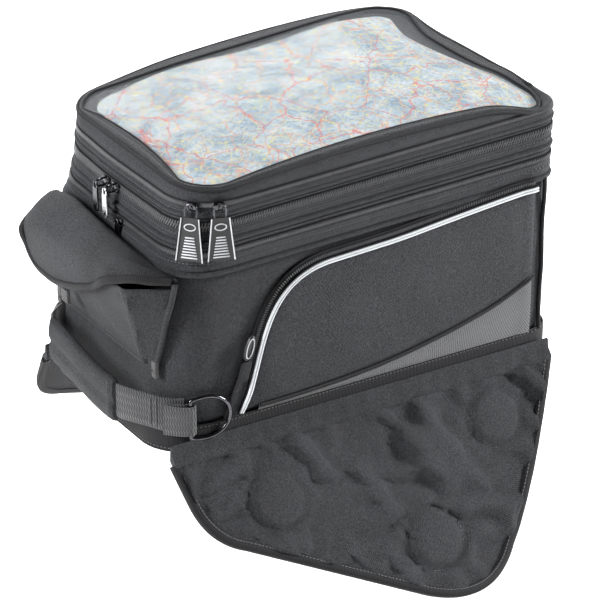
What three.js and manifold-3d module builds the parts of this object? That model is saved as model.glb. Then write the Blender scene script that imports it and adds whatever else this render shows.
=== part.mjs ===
// Motorcycle tank bag: stiffened shell, raising upper section, lid with a map window,
// rear utility pocket, two side pockets and two hanging magnet flaps.
// Millimetres. +X is the riding direction, +Z is up, -Y is the bag's right side.
// The origin is the centre of the base's underside.
import * as THREE from 'three';
import { mergeVertices } from 'three/addons/utils/BufferGeometryUtils.js';
import Module from 'manifold-3d';

const wasm = await Module();
wasm.setup();

// ---- Driving dimensions -------------------------------------------------------------
const GAP = 0.4;                 // air between touching pieces
const REAR_X = -178;             // plan outline that every ring starts from
const FRONT_X = 186;
const REAR_HALF = 106;
const FRONT_HALF = 124;
const REAR_CORNER = 42;
const FRONT_CORNER = 34;
const TILT = 0.022;              // the bag is taller at the front
const TILT_ARM = 185;

const BASE_TOP = 3;              // heights of the stack, bottom to top
const BAND_HEIGHT = 26;
const SHELL_TOP = 163;
const STACK_BOTTOM = 164;
const LOW_ZIP = 181;
const MAIN_ZIP = 205;
const MAP_ZIP = 225;
const COVER_BOTTOM = 231;
const COVER_CREST = 254;
const ABOVE_ALL = 263;           // tops of the blanks that the dome then cuts

const WALL = 3;
const BAND_WALL = 4;
const SMALL_TEETH = 2.6;
const BIG_TEETH = 3.8;
const TEETH_DEPTH = 3;
const HINGE_HALF = 84;           // half width of the fabric hinges at the front
const CORNER_STEPS = 6;          // facets round each corner of the plan
const GUSSET_LOW = 171;          // the folded expansion gusset, inside the bands
const GUSSET_HIGH = 197;
const GUSSET_THICK = 2;
const LEDGE = 4;                 // the lower band is this much thicker, to carry the gusset
const PIPING_PROUD = 1.8;
const WINDOW_BORDER = 20;
const SHEET_BORDER = 16;
const OVERSHOOT = 9;             // how far a cutting solid runs past what it cuts

const DOME_X = 350;              // the cover is a slice of one shallow ellipsoid
const DOME_Y = 232;
const DOME_Z = 55;

const FLAP_ANGLE = THREE.MathUtils.degToRad(35);
const FLAP_HANG = 3;
const FLAP_CLEAR = 4.5;          // the flap's hinge line stands this far off the base
const BINDING_WIDE = 5.5;
const MAGNET_RADIUS = 20;
const MAGNET_THICK = 3.5;
const MAGNETS = [[82, 53], [300, 39], [213, 124]];


const STRAP_WIDTH = 32;
const STRAP_LOW = 24;
const STRAP_THICK = 2.2;
const GRIP_HALF = 52;

const colour = (hex, roughness, metalness = 0) =>
  new THREE.MeshStandardMaterial({ color: hex, roughness, metalness });
const FABRIC = colour(0x2b2d30, 0.85);
const BINDING = colour(0x17181a, 0.8);
const WEBBING = colour(0x1c1d20, 0.75);
const MESH_CLOTH = colour(0x3a3c40, 0.9);
const TEETH = colour(0x141416, 0.4);
const METAL = colour(0x55585c, 0.25, 0.9);
const RUBBER = colour(0x18191b, 0.6);
const REFLECTIVE = colour(0xc9ccd0, 0.3, 0.2);
const FILM = colour(0xdfe6ea, 0.08);
const PAPER = colour(0xd5dde2, 0.7);
const MAGNET_STEEL = colour(0x8b8e92, 0.35, 0.9);
const BASE_RUBBER = colour(0x202123, 0.95);
const BOARD = colour(0x3b3b3b, 0.7);

// ---- Plan outline and how it leans --------------------------------------------------
const lerp = THREE.MathUtils.lerp;
const SIDE_SLOPE = (FRONT_HALF - REAR_HALF) / (FRONT_X - REAR_X);
const SIDE_ANGLE = Math.atan(SIDE_SLOPE);
const neutralHalf = (x) => REAR_HALF + (x - REAR_X) * SIDE_SLOPE;

const lowerWalls = {
  rear: (z) => -188 + 0.095 * z,
  front: (z) => 186 - 0.01 * z,
  rearHalf: (z) => 101 + 0.015 * z,
  frontHalf: (z) => 122 + 0.015 * z,
};
const stackWalls = {
  rear: (z) => -201.9 + 0.151 * z,
  front: () => 187,
  rearHalf: (z) => 104 + 0.03 * z,
  frontHalf: (z) => 122 + 0.01 * z,
};

function cornerCentre(x, radius, side) {
  const half = neutralHalf(x) - radius / Math.cos(SIDE_ANGLE);
  return [x, side * half, radius];
}

const CORNERS = [
  [...cornerCentre(FRONT_X - FRONT_CORNER, FRONT_CORNER, 1), 0, Math.PI / 2 + SIDE_ANGLE],
  [...cornerCentre(REAR_X + REAR_CORNER, REAR_CORNER, 1), Math.PI / 2 + SIDE_ANGLE, Math.PI],
  [...cornerCentre(REAR_X + REAR_CORNER, REAR_CORNER, -1), Math.PI, 1.5 * Math.PI - SIDE_ANGLE],
  [...cornerCentre(FRONT_X - FRONT_CORNER, FRONT_CORNER, -1), 1.5 * Math.PI - SIDE_ANGLE,
    2 * Math.PI],
];

function planPoints(grow) {
  const points = [];
  for (const [x, y, radius, from, to] of CORNERS) {
    for (let i = 0; i <= CORNER_STEPS; i += 1) {
      const angle = lerp(from, to, i / CORNER_STEPS);
      points.push(new THREE.Vector2(
        x + (radius + grow) * Math.cos(angle), y + (radius + grow) * Math.sin(angle)));
    }
  }
  return points;
}

function ringShape(outer, inner) {
  const shape = new THREE.Shape(planPoints(outer));
  shape.holes.push(new THREE.Path(planPoints(inner)));
  return shape;
}

function extrudeUp(shape, low, high, steps = 1) {
  const geometry = new THREE.ExtrudeGeometry(shape, {
    depth: high - low, steps, bevelEnabled: false, curveSegments: 8 });
  return geometry.translate(0, 0, low);
}

const tilted = (z, x) => z * (1 + TILT * x / TILT_ARM);

// Moves a geometry from the neutral outline to the leaning walls at its own height.
function lean(geometry, walls) {
  const place = geometry.attributes.position;
  for (let i = 0; i < place.count; i += 1) {
    const [x, y, z] = [place.getX(i), place.getY(i), place.getZ(i)];
    const along = (x - REAR_X) / (FRONT_X - REAR_X);
    const wide = lerp(walls.rearHalf(z), walls.frontHalf(z), along) / neutralHalf(x);
    const leanX = lerp(walls.rear(z), walls.front(z), along);
    place.setXYZ(i, leanX, y * wide, tilted(z, leanX));
  }
  return geometry;
}

// ---- Solids ---------------------------------------------------------------------------
function solid(geometry) {
  const bare = geometry.clone();
  bare.deleteAttribute('normal');
  bare.deleteAttribute('uv');
  const merged = mergeVertices(bare, 1e-4);
  return new wasm.Manifold(new wasm.Mesh({
    numProp: 3,
    vertProperties: new Float32Array(merged.attributes.position.array),
    triVerts: new Uint32Array(merged.index.array),
  }));
}

function geometryOf(body) {
  const mesh = body.getMesh();
  const geometry = new THREE.BufferGeometry();
  geometry.setAttribute('position', new THREE.BufferAttribute(mesh.vertProperties, 3));
  geometry.setIndex(new THREE.BufferAttribute(mesh.triVerts, 1));
  geometry.computeVertexNormals();
  return geometry;
}

const block = (x0, x1, y0, y1, z0, z1) =>
  new THREE.BoxGeometry(x1 - x0, y1 - y0, z1 - z0)
    .translate((x0 + x1) / 2, (y0 + y1) / 2, (z0 + z1) / 2);

const bareTriangles = (geometry) => {
  const bare = geometry.index ? geometry.toNonIndexed() : geometry.clone();
  bare.deleteAttribute('uv');
  bare.deleteAttribute('normal');
  return bare;
};

const prism = (grow, low, high, steps = 1) =>
  extrudeUp(new THREE.Shape(planPoints(grow)), low, high, steps);
const stackPrism = (grow, low, high) => solid(lean(prism(grow, low, high), stackWalls));
const stackRing = (outer, inner, low, high) =>
  lean(extrudeUp(ringShape(outer, inner), low, high), stackWalls);

// Everything under the cover's curved surface, lowered by drop.
function underDome(drop) {
  const profile = [new THREE.Vector2(0, -1), new THREE.Vector2(0.8, -1)];
  for (let i = 0; i <= 9; i += 1) {
    const reach = 0.8 * (1 - i / 9);
    profile.push(new THREE.Vector2(reach, Math.sqrt(1 - reach * reach)));
  }
  const bowl = new THREE.LatheGeometry(profile, 40).rotateX(Math.PI / 2);
  bowl.scale(DOME_X, DOME_Y, DOME_Z).translate(0, 0, COVER_CREST - DOME_Z - drop);
  const place = bowl.attributes.position;
  for (let i = 0; i < place.count; i += 1) {
    place.setZ(i, tilted(place.getZ(i), place.getX(i)));
  }
  return solid(bowl);
}

// A zip half on three sides: an open outline that stops short of the front hinge.
function teethShape(outer, inner) {
  const open = (p) => p.x < FRONT_X - 8 || Math.abs(p.y) > HINGE_HALF;
  const order = (points) => {
    const kept = points.filter(open);
    const start = kept.findIndex((p) => p.y > 0 && p.x > FRONT_X - 8);
    return [...kept.slice(start), ...kept.slice(0, start)];
  };
  const out = order(planPoints(outer));
  const inn = order(planPoints(inner));
  return new THREE.Shape([...out, ...inn.reverse()]);
}
const teeth = (low, tall) =>
  lean(extrudeUp(teethShape(0, -TEETH_DEPTH), low, low + tall), stackWalls);
const wholeTeeth = (low, tall) => stackRing(0, -TEETH_DEPTH, low, low + tall);
const frontWeb = (low, high) => lean(
  block(FRONT_X - BAND_WALL, FRONT_X, -HINGE_HALF + 2, HINGE_HALF - 2, low, high), stackWalls);

// ---- Scene graph -----------------------------------------------------------------------
const bag = new THREE.Group();
function piece(name, geometry, material, parent = bag) {
  const mesh = new THREE.Mesh(geometry, material);
  mesh.name = name;
  parent.add(mesh);
  return mesh;
}
function branch(parent) {
  const group = new THREE.Group();
  parent.add(group);
  return group;
}
const SIDES = [['right', -1], ['left', 1]];

// ---- Base, shell and lower band ---------------------------------------------------------
function base() {
  piece('base_panel', lean(prism(0, 0, BASE_TOP), lowerWalls), BASE_RUBBER);
  const band = extrudeUp(ringShape(2, GAP), 1, BAND_HEIGHT);
  piece('base_band', lean(band, lowerWalls), BINDING);
  const outer = solid(lean(prism(0, BASE_TOP + GAP, SHELL_TOP, 3), lowerWalls));
  const inner = solid(lean(
    prism(-WALL, BASE_TOP + GAP + WALL, SHELL_TOP + OVERSHOOT, 3), lowerWalls));
  piece('main_shell', geometryOf(outer.subtract(inner)), FABRIC);
  const boardLow = BASE_TOP + WALL + 2 * GAP;
  piece('floor_board', lean(prism(-WALL - 1, boardLow, boardLow + 3), lowerWalls), BOARD);
}

function lowerBand() {
  const inner = -BAND_WALL - LEDGE;
  const ring = solid(stackRing(0, inner, STACK_BOTTOM, LOW_ZIP));
  const piping = solid(stackRing(PIPING_PROUD, -1, STACK_BOTTOM, STACK_BOTTOM + 4));
  piece('lower_band', geometryOf(ring.add(piping)), FABRIC);
  piece('expansion_zip_lower_teeth', wholeTeeth(LOW_ZIP + GAP, SMALL_TEETH), TEETH);
  const gusset = extrudeUp(
    ringShape(inner - GAP, inner - GUSSET_THICK - GAP), GUSSET_LOW, GUSSET_HIGH);
  piece('expansion_gusset', lean(gusset, stackWalls), FABRIC);
}

// ---- Upper section, lid and cover --------------------------------------------------------
function upperSection(parent) {
  const low = LOW_ZIP + 2 * (SMALL_TEETH + GAP) + GAP;
  const ring = solid(stackRing(0, -BAND_WALL, low, MAIN_ZIP));
  const web = solid(frontWeb(MAIN_ZIP - 1, MAIN_ZIP + BIG_TEETH));
  piece('upper_band', geometryOf(ring.add(web)), FABRIC, parent);
  piece('expansion_zip_upper_teeth',
    wholeTeeth(LOW_ZIP + SMALL_TEETH + 2 * GAP, SMALL_TEETH), TEETH, parent);
  piece('main_zip_lower_teeth', teeth(MAIN_ZIP + GAP, BIG_TEETH - GAP), TEETH, parent);
}

function lid(parent) {
  const low = MAIN_ZIP + 2 * BIG_TEETH + 2 * GAP;
  const hollow = stackPrism(-BAND_WALL, low - OVERSHOOT, MAP_ZIP - 4);
  const panel = stackPrism(-5.5, MAP_ZIP - 3, ABOVE_ALL).intersect(underDome(5));
  const belly = stackPrism(-9, low - OVERSHOOT, ABOVE_ALL).intersect(underDome(8));
  const web = solid(frontWeb(MAIN_ZIP + BIG_TEETH + GAP, low + 1));
  const topWeb = solid(frontWeb(MAP_ZIP - 1, MAP_ZIP + SMALL_TEETH));
  const tray = stackPrism(0, low, MAP_ZIP).add(panel).subtract(hollow).subtract(belly);
  piece('lid_tray', geometryOf(tray.add(web).add(topWeb)), FABRIC, parent);
  piece('main_zip_upper_teeth',
    teeth(MAIN_ZIP + BIG_TEETH + GAP, BIG_TEETH), TEETH, parent);
  piece('map_zip_lower_teeth', teeth(MAP_ZIP + GAP, SMALL_TEETH - GAP), TEETH, parent);
  const sheet = stackPrism(-SHEET_BORDER, MAP_ZIP, ABOVE_ALL)
    .intersect(underDome(2.6)).subtract(underDome(3.4));
  piece('map_sheet', geometryOf(sheet), PAPER, parent);
}

function mapCover(parent) {
  const below = COVER_BOTTOM - OVERSHOOT;
  const outer = stackPrism(0, COVER_BOTTOM, ABOVE_ALL).intersect(underDome(0));
  const inner = stackPrism(-WALL, below, ABOVE_ALL).intersect(underDome(2));
  const opening = stackPrism(-WINDOW_BORDER, below, ABOVE_ALL);
  const web = solid(frontWeb(MAP_ZIP + SMALL_TEETH + GAP, COVER_BOTTOM + 1));
  const frame = outer.subtract(inner).subtract(opening).add(web);
  piece('cover_frame', geometryOf(frame), BINDING, parent);
  const film = stackPrism(-WINDOW_BORDER - GAP, COVER_BOTTOM, ABOVE_ALL)
    .intersect(underDome(0.6)).subtract(underDome(1.4));
  piece('window_film', geometryOf(film), FILM, parent);
  piece('map_zip_upper_teeth',
    teeth(MAP_ZIP + SMALL_TEETH + GAP, SMALL_TEETH), TEETH, parent);
}

// ---- Rear utility pocket -------------------------------------------------------------------
const POCKET_LOW = 62;
const POCKET_TOP = 152;
const POCKET_WALL = 2.5;

// Each level of the pocket: x and half width at the wall, then at the front.
function pocketSection(z, inset) {
  const t = (z - POCKET_LOW) / (POCKET_TOP - POCKET_LOW);
  const wall = lowerWalls.rear(z) - 1.2;
  const front = lerp(-192, -211, t) + inset;
  const wallHalf = lerp(64, 96, t) - inset;
  const frontHalf = lerp(68, 74, t) - inset;
  return [[wall + (inset ? 2 : 0), wallHalf], [front, frontHalf]];
}

function pocketBlock(low, high, inset) {
  const cube = new THREE.BoxGeometry(1, 1, 1, 1, 1, 4);
  const place = cube.attributes.position;
  for (let i = 0; i < place.count; i += 1) {
    const z = lerp(low, high, place.getZ(i) + 0.5);
    const [wall, front] = pocketSection(z, inset);
    const [x, half] = place.getX(i) > 0 ? wall : front;
    place.setXYZ(i, x, Math.sign(place.getY(i)) * half, z);
  }
  return solid(cube);
}

// A strip in the X-Z plane, swept along Y and narrowed towards its front edge.
function visor(points, thick, halfAt) {
  const curve = new THREE.SplineCurve(points.map(([x, z]) => new THREE.Vector2(x, z)));
  const top = curve.getPoints(8);
  const under = top.map((p, i) => {
    const tangent = curve.getTangent(i / 8);
    return new THREE.Vector2(p.x - tangent.y * thick, p.y + tangent.x * thick);
  });
  const strip = extrudeUp(new THREE.Shape([...top, ...under.reverse()]), 0, 1);
  const place = strip.attributes.position;
  for (let i = 0; i < place.count; i += 1) {
    const [x, z, side] = [place.getX(i), place.getY(i), place.getZ(i) * 2 - 1];
    place.setXYZ(i, x, -side * halfAt(x), z);
  }
  return mergeVertices(bareTriangles(strip), 1e-4);
}

const FLAP_TIP = -222;           // x where the flap is narrowest, and where it is widest
const FLAP_ROOT = -173;
const HOOD_LINE = [[-174, 156], [-181, 159], [-186, 166.5], [-192.5, 173.5]];
const FLAP_LINE = [[-195, 173.5], [-208, 169], [-217, 157], [-220, 143]];

function rearPocket() {
  const outer = pocketBlock(POCKET_LOW, POCKET_TOP, 0);
  const inner = pocketBlock(POCKET_LOW + WALL, POCKET_TOP + OVERSHOOT, POCKET_WALL);
  const box = outer.subtract(inner);
  piece('rear_pocket_body', geometryOf(box), FABRIC);
  const half = (x) => lerp(
    70, 94, THREE.MathUtils.clamp((x - FLAP_TIP) / (FLAP_ROOT - FLAP_TIP), 0, 1));
  piece('rear_pocket_hood', visor(HOOD_LINE, POCKET_WALL, half), FABRIC);
  const flap = branch(bag);
  piece('rear_pocket_flap', visor(FLAP_LINE, POCKET_WALL, half), FABRIC, flap);
}

// ---- Side pockets ------------------------------------------------------------------------------
// A shape drawn on the side wall (x along, z up) and raised from it between two depths.
function onSide(shape, near, far, side, steps = 1) {
  const geometry = new THREE.ExtrudeGeometry(shape, {
    depth: far - near, steps, bevelEnabled: false, curveSegments: 6 });
  const place = geometry.attributes.position;
  for (let i = 0; i < place.count; i += 1) {
    const [x, z, depth] = [place.getX(i), place.getY(i), place.getZ(i) + near];
    place.setXYZ(i, x, -(neutralHalf(x) + depth), z);
  }
  lean(geometry, lowerWalls);
  return side < 0 ? geometry : mirrored(geometry);
}

function mirrored(geometry) {
  const flipped = bareTriangles(geometry).scale(1, -1, 1);
  const place = flipped.attributes.position;
  for (let i = 0; i < place.count; i += 3) {
    const a = new THREE.Vector3().fromBufferAttribute(place, i);
    const b = new THREE.Vector3().fromBufferAttribute(place, i + 1);
    place.setXYZ(i, b.x, b.y, b.z);
    place.setXYZ(i + 1, a.x, a.y, a.z);
  }
  return mergeVertices(flipped, 1e-4);
}

// The pocket's zip edge: up from the base, round the corner, then forward.
const POCKET_EDGE = new THREE.CurvePath();
const POCKET_BEND = new THREE.CubicBezierCurve(
  new THREE.Vector2(-117, 30), new THREE.Vector2(-100, 78),
  new THREE.Vector2(-112, 150), new THREE.Vector2(-38, 150));
POCKET_EDGE.add(POCKET_BEND);
POCKET_EDGE.add(new THREE.LineCurve(new THREE.Vector2(-38, 150), new THREE.Vector2(148, 156)));

function edgePoints(offset) {
  return POCKET_EDGE.getPoints(9).map((p, i, all) => {
    const ahead = all[Math.min(i + 1, all.length - 1)];
    const behind = all[Math.max(i - 1, 0)];
    const normal = new THREE.Vector2(behind.y - ahead.y, ahead.x - behind.x).normalize();
    return new THREE.Vector2(p.x, p.y).addScaledVector(normal, offset);
  });
}
const edgeStrip = (inner, outer) =>
  new THREE.Shape([...edgePoints(inner), ...edgePoints(outer).reverse()]);

const MESH_TOP = new THREE.QuadraticBezierCurve(
  new THREE.Vector2(-98, 31), new THREE.Vector2(78, 30), new THREE.Vector2(148, 80));

const POCKET_PROUD = 7;          // how far the pocket and its trims stand off the wall
const ZIP_PROUD = 4;
const MESH_PROUD = 5;

function sidePockets() {
  for (const [name, side] of SIDES) {
    const meshEdge = MESH_TOP.getPoints(8);
    const lifted = meshEdge.map((p) => new THREE.Vector2(p.x, p.y + GAP));
    const panel = new THREE.Shape([...edgePoints(-2), ...lifted.reverse()]);
    piece(`side_pocket_${name}`, onSide(panel, GAP, POCKET_PROUD, side), FABRIC);
    const piping = onSide(edgeStrip(-1.6, 1.4), GAP, POCKET_PROUD + 1, side);
    piece(`pocket_piping_${name}`, piping, REFLECTIVE);
    piece(`pocket_zip_${name}`, onSide(edgeStrip(1.8, 8), GAP, ZIP_PROUD, side), TEETH);
    const low = BAND_HEIGHT + 1;
    const cloth = [...meshEdge, new THREE.Vector2(148, low), new THREE.Vector2(-98, low)];
    piece(`mesh_panel_${name}`, onSide(new THREE.Shape(cloth), GAP, MESH_PROUD, side), MESH_CLOTH);
    const garage = [[-123, 60], [-114, 60], [-114, 76], [-123, 76]]
      .map(([x, z]) => new THREE.Vector2(x, z));
    const cover = onSide(new THREE.Shape(garage), ZIP_PROUD + GAP, POCKET_PROUD + 1, side);
    piece(`zip_garage_${name}`, cover, BINDING);
  }
}

// ---- Magnet flaps ---------------------------------------------------------------------------
function flapOutline() {
  const shape = new THREE.Shape();
  shape.moveTo(0, FLAP_HANG);
  shape.lineTo(6, 36);
  shape.quadraticCurveTo(12, 72, 44, 86);
  shape.lineTo(190, 166);
  shape.quadraticCurveTo(250, 196, 284, 148);
  shape.quadraticCurveTo(322, 105, 374, FLAP_HANG);
  return shape.getPoints(8);
}

function inset(points, distance) {
  return points.map((p, i) => {
    const before = points[(i + points.length - 1) % points.length];
    const after = points[(i + 1) % points.length];
    const a = p.clone().sub(before).normalize();
    const b = after.clone().sub(p).normalize();
    const inward = new THREE.Vector2(a.y + b.y, -a.x - b.x).normalize();
    const spread = Math.max(0.5, inward.dot(new THREE.Vector2(a.y, -a.x)));
    return p.clone().addScaledVector(inward, distance / spread);
  });
}

function flap(name, side) {
  const group = branch(bag);
  const corner = (x, half) => new THREE.Vector3(x, side * (half + FLAP_CLEAR), 0);
  const start = corner(lowerWalls.rear(0), lowerWalls.rearHalf(0));
  const end = corner(lowerWalls.front(0), lowerWalls.frontHalf(0));
  const hinge = end.clone().sub(start).normalize();
  const out = new THREE.Vector3(-hinge.y, hinge.x, 0).multiplyScalar(side);
  const down = out.clone().multiplyScalar(Math.sin(FLAP_ANGLE))
    .add(new THREE.Vector3(0, 0, -Math.cos(FLAP_ANGLE)));
  const along = hinge.clone().multiplyScalar(side);
  const basis = new THREE.Matrix4()
    .makeBasis(along, down, new THREE.Vector3().crossVectors(along, down)).setPosition(start);
  basis.decompose(group.position, group.quaternion, group.scale);

  const turned = (points) => points.map((p) => new THREE.Vector2(side * p.x, p.y));
  const edge = flapOutline();
  const plate = (distance, low, high) =>
    extrudeUp(new THREE.Shape(turned(inset(edge, distance))), low, high);
  const button = (x, y, radius, low, high, crown = 0) => {
    const profile = [[0, low], [radius, low], [radius, high - crown],
      [radius * 0.72, high - crown * 0.25], [0, high]].map(([r, z]) => new THREE.Vector2(r, z));
    return new THREE.LatheGeometry(profile, 24).rotateX(Math.PI / 2).translate(side * x, y, 0);
  };
  let cover = solid(plate(6, 0.5, 3));
  for (const [x, y] of MAGNETS) {
    cover = cover.add(solid(button(x, y, MAGNET_RADIUS + 4, 0.5, 8, 2.5)));
  }
  for (const [x, y] of MAGNETS) {
    cover = cover.subtract(solid(button(x, y, MAGNET_RADIUS + 0.5, -1, 0.9 + MAGNET_THICK + 0.3)));
  }
  piece(`flap_cover_${name}`, geometryOf(cover), FABRIC, group);
  MAGNETS.forEach(([x, y], i) => {
    const disc = button(x, y, MAGNET_RADIUS, 0.9, 0.9 + MAGNET_THICK);
    piece(`flap_magnet_${name}_${i + 1}`, disc, MAGNET_STEEL, group);
  });
  piece(`flap_lining_${name}`, plate(6, -1.6, 0.1), FABRIC, group);
  const binding = new THREE.Shape(turned(edge));
  binding.holes.push(new THREE.Path(turned(inset(edge, BINDING_WIDE)).reverse()));
  piece(`flap_binding_${name}`, extrudeUp(binding, -2.6, 3.8), BINDING, group);
}

// ---- Carry handle and D-rings ----------------------------------------------------------------
function strapShape(path, thick) {
  const points = path.map(([x, y]) => new THREE.Vector2(x, y));
  const side = (sign) => points.map((p, i) => {
    const a = points[Math.max(i - 1, 0)];
    const b = points[Math.min(i + 1, points.length - 1)];
    const normal = new THREE.Vector2(a.y - b.y, b.x - a.x).normalize();
    return p.clone().addScaledVector(normal, sign * thick / 2);
  });
  return new THREE.Shape([...side(1), ...side(-1).reverse()]);
}

function carryHandle() {
  const group = branch(bag);
  const half = [[-190.5, 76], [-199, 66], [-205, 54], [-207, 40]];
  const path = [...half, ...half.map(([x, y]) => [x, -y]).reverse()];
  const strapHigh = STRAP_LOW + STRAP_WIDTH;
  piece('handle_webbing', extrudeUp(strapShape(path, STRAP_THICK), STRAP_LOW, strapHigh),
    WEBBING, group);
  const section = new THREE.Shape();
  section.moveTo(-4, -19);
  section.lineTo(4, -19);
  section.quadraticCurveTo(6.5, 0, 4, 19);
  section.lineTo(-4, 19);
  section.quadraticCurveTo(-6.5, 0, -4, -19);
  const sleeve = new THREE.ExtrudeGeometry(section, {
    depth: 2 * GRIP_HALF, bevelEnabled: false, curveSegments: 5 });
  sleeve.rotateX(Math.PI / 2).translate(-206.5, GRIP_HALF, STRAP_LOW + STRAP_WIDTH / 2);
  const slot = extrudeUp(strapShape(path, STRAP_THICK + 1.2), STRAP_LOW - 1, strapHigh + 1);
  piece('handle_grip', geometryOf(solid(sleeve).subtract(solid(slot))), FABRIC, group);
}

const RING_BAR = [-166, 103.5];   // the bar's place on the corner, x and distance from the middle
function dRing(name, side) {
  const [barX, barY] = RING_BAR;
  const wire = 1.6;
  const bow = new THREE.CubicBezierCurve3(
    new THREE.Vector3(0, 0, 17.5), new THREE.Vector3(46, 0, 30),
    new THREE.Vector3(46, 0, -30), new THREE.Vector3(0, 0, -17.5));
  const round = new THREE.Shape().absarc(0, 0, wire, 0, 2 * Math.PI);
  const arch = new THREE.ExtrudeGeometry(round, {
    steps: 24, extrudePath: bow, curveSegments: 8, bevelEnabled: false });
  const bar = new THREE.CylinderGeometry(wire, wire, 38, 10).rotateX(Math.PI / 2);
  const group = branch(bag);
  group.position.set(barX, side * barY, 38);
  group.rotation.z = side * THREE.MathUtils.degToRad(11);
  piece(`d_ring_${name}`, geometryOf(solid(arch).add(solid(bar))), METAL, group);
  // Webbing tab: a sleeve round the bar and a tail sewn along the corner.
  const tail = [[-181.5, 86.5], [-176, 93.5], [-170, 98.6], [-164.5, 100.5], [-162, 103.5],
    [-164.5, 106.5], [-170, 105.6], [-177, 100], [-183.5, 91.5]];
  const tab = strapShape(tail.map(([x, y]) => [x, side * y]), 1.6);
  piece(`ring_webbing_${name}`, extrudeUp(tab, STRAP_LOW + 3, STRAP_LOW + 28), WEBBING);
}

// ---- Zip sliders and pulls ----------------------------------------------------------------------
// Local frame of a slider: x along the zip, -y outwards, z up, origin on the teeth's face.
function sliderAt(parent, x, y, z, turn) {
  const group = branch(parent);
  group.position.set(x, y, z);
  group.rotation.z = turn;
  return group;
}

function slider(name, group, width, height, proud) {
  const shape = new THREE.Shape();
  shape.moveTo(-width / 2, -height / 2);
  shape.lineTo(width / 2, -height / 2 + 1);
  shape.lineTo(width / 2, height / 2 - 1);
  shape.lineTo(-width / 2, height / 2);
  const plate = new THREE.ExtrudeGeometry(shape, { depth: 1.6, bevelEnabled: false });
  plate.rotateX(Math.PI / 2).translate(0, -1, 0);
  const bridge = block(-width / 4, width / 4, -proud, -1.2, -1.2, 1.2);
  piece(name, geometryOf(solid(plate).add(solid(bridge))), METAL, group);
}

// A flat pull in front of its slider's bridge: a tapered tab with an eye over the pivot.
function pull(name, group, proud, lay, material, topHalf, lowHalf, length, thick, drop) {
  const shape = new THREE.Shape();
  const eye = topHalf * 0.8;
  shape.moveTo(-lowHalf, -drop - length);
  shape.lineTo(lowHalf, -drop - length);
  shape.lineTo(topHalf, -drop);
  shape.lineTo(eye, 0);
  shape.lineTo(-eye, 0);
  shape.lineTo(-topHalf, -drop);
  const tab = new THREE.ExtrudeGeometry(shape, { depth: thick, bevelEnabled: false });
  tab.rotateX(Math.PI / 2);
  const hinge = branch(group);
  hinge.position.y = -proud - GAP;
  hinge.rotation.x = -lay;
  piece(name, tab, material, hinge);
}

// Centre of the stack's rear right corner, where two of the sliders ride.
function stackCorner(z, angle, grow) {
  const [x, y, radius] = CORNERS[2];
  const point = new THREE.BufferGeometry().setFromPoints([new THREE.Vector3(
    x + (radius + grow) * Math.cos(angle), y + (radius + grow) * Math.sin(angle), z)]);
  const place = lean(point, stackWalls).attributes.position;
  return [place.getX(0), place.getY(0), place.getZ(0)];
}

function zipSliders(upper, lidGroup) {
  const mapSeam = MAP_ZIP + SMALL_TEETH;
  for (const [name, degrees, slope] of [['rear', 222, 7], ['side', 250, 3]]) {
    const angle = THREE.MathUtils.degToRad(degrees);
    const at = stackCorner(mapSeam, angle, 0);
    const group = sliderAt(lidGroup, ...at, angle + Math.PI / 2);
    slider(`map_zip_slider_${name}`, group, 9, 7, 4.5);
    const lay = THREE.MathUtils.degToRad(slope);   // the pull lies along the band's slope
    pull(`map_zip_pull_${name}`, group, 4.5, lay, RUBBER, 8, 12, 40.5, 3, 13);
  }
  const mainSeam = MAIN_ZIP + BIG_TEETH + GAP / 2;
  const mainX = stackWalls.rear(mainSeam);
  for (const [name, y] of [['left', 12], ['right', -3]]) {
    const group = sliderAt(upper, mainX, y, tilted(mainSeam, mainX), -Math.PI / 2);
    slider(`main_zip_slider_${name}`, group, 9, 8, 11);
    pull(`main_zip_pull_${name}`, group, 11, 0, METAL, 3.6, 3, 21, 1.8, 4);
  }
  const lowSeam = LOW_ZIP + SMALL_TEETH + GAP;
  const lowX = stackWalls.rear(lowSeam);
  const low = sliderAt(bag, lowX, -14, tilted(lowSeam, lowX), -Math.PI / 2);
  slider('expansion_zip_slider', low, 8, 6, 3);
  pull('expansion_zip_pull', low, 3, 0, METAL, 2.6, 2.4, 9, 1.4, 2);
}

// A pocket slider with its short cord pull, on the zip's lower, nearly straight run.
function pocketSliders() {
  for (const [name, side] of SIDES) {
    const body = new THREE.Shape([[-121, 79], [-114, 79], [-110.5, 100], [-117.5, 100]]
      .map(([x, z]) => new THREE.Vector2(x, z)));
    const plate = onSide(body, ZIP_PROUD + GAP, POCKET_PROUD + 1, side);
    piece(`pocket_slider_${name}`, plate, METAL, branch(bag));
  }
}

base();
lowerBand();
const upper = branch(bag);
upperSection(upper);
const lidGroup = branch(upper);
lid(lidGroup);
const coverGroup = branch(lidGroup);
mapCover(coverGroup);
rearPocket();
sidePockets();
for (const [name, side] of SIDES) {
  flap(name, side);
  dRing(name, side);
}
carryHandle();
zipSliders(upper, lidGroup);
pocketSliders();

export default bag;
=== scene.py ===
import math

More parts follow.
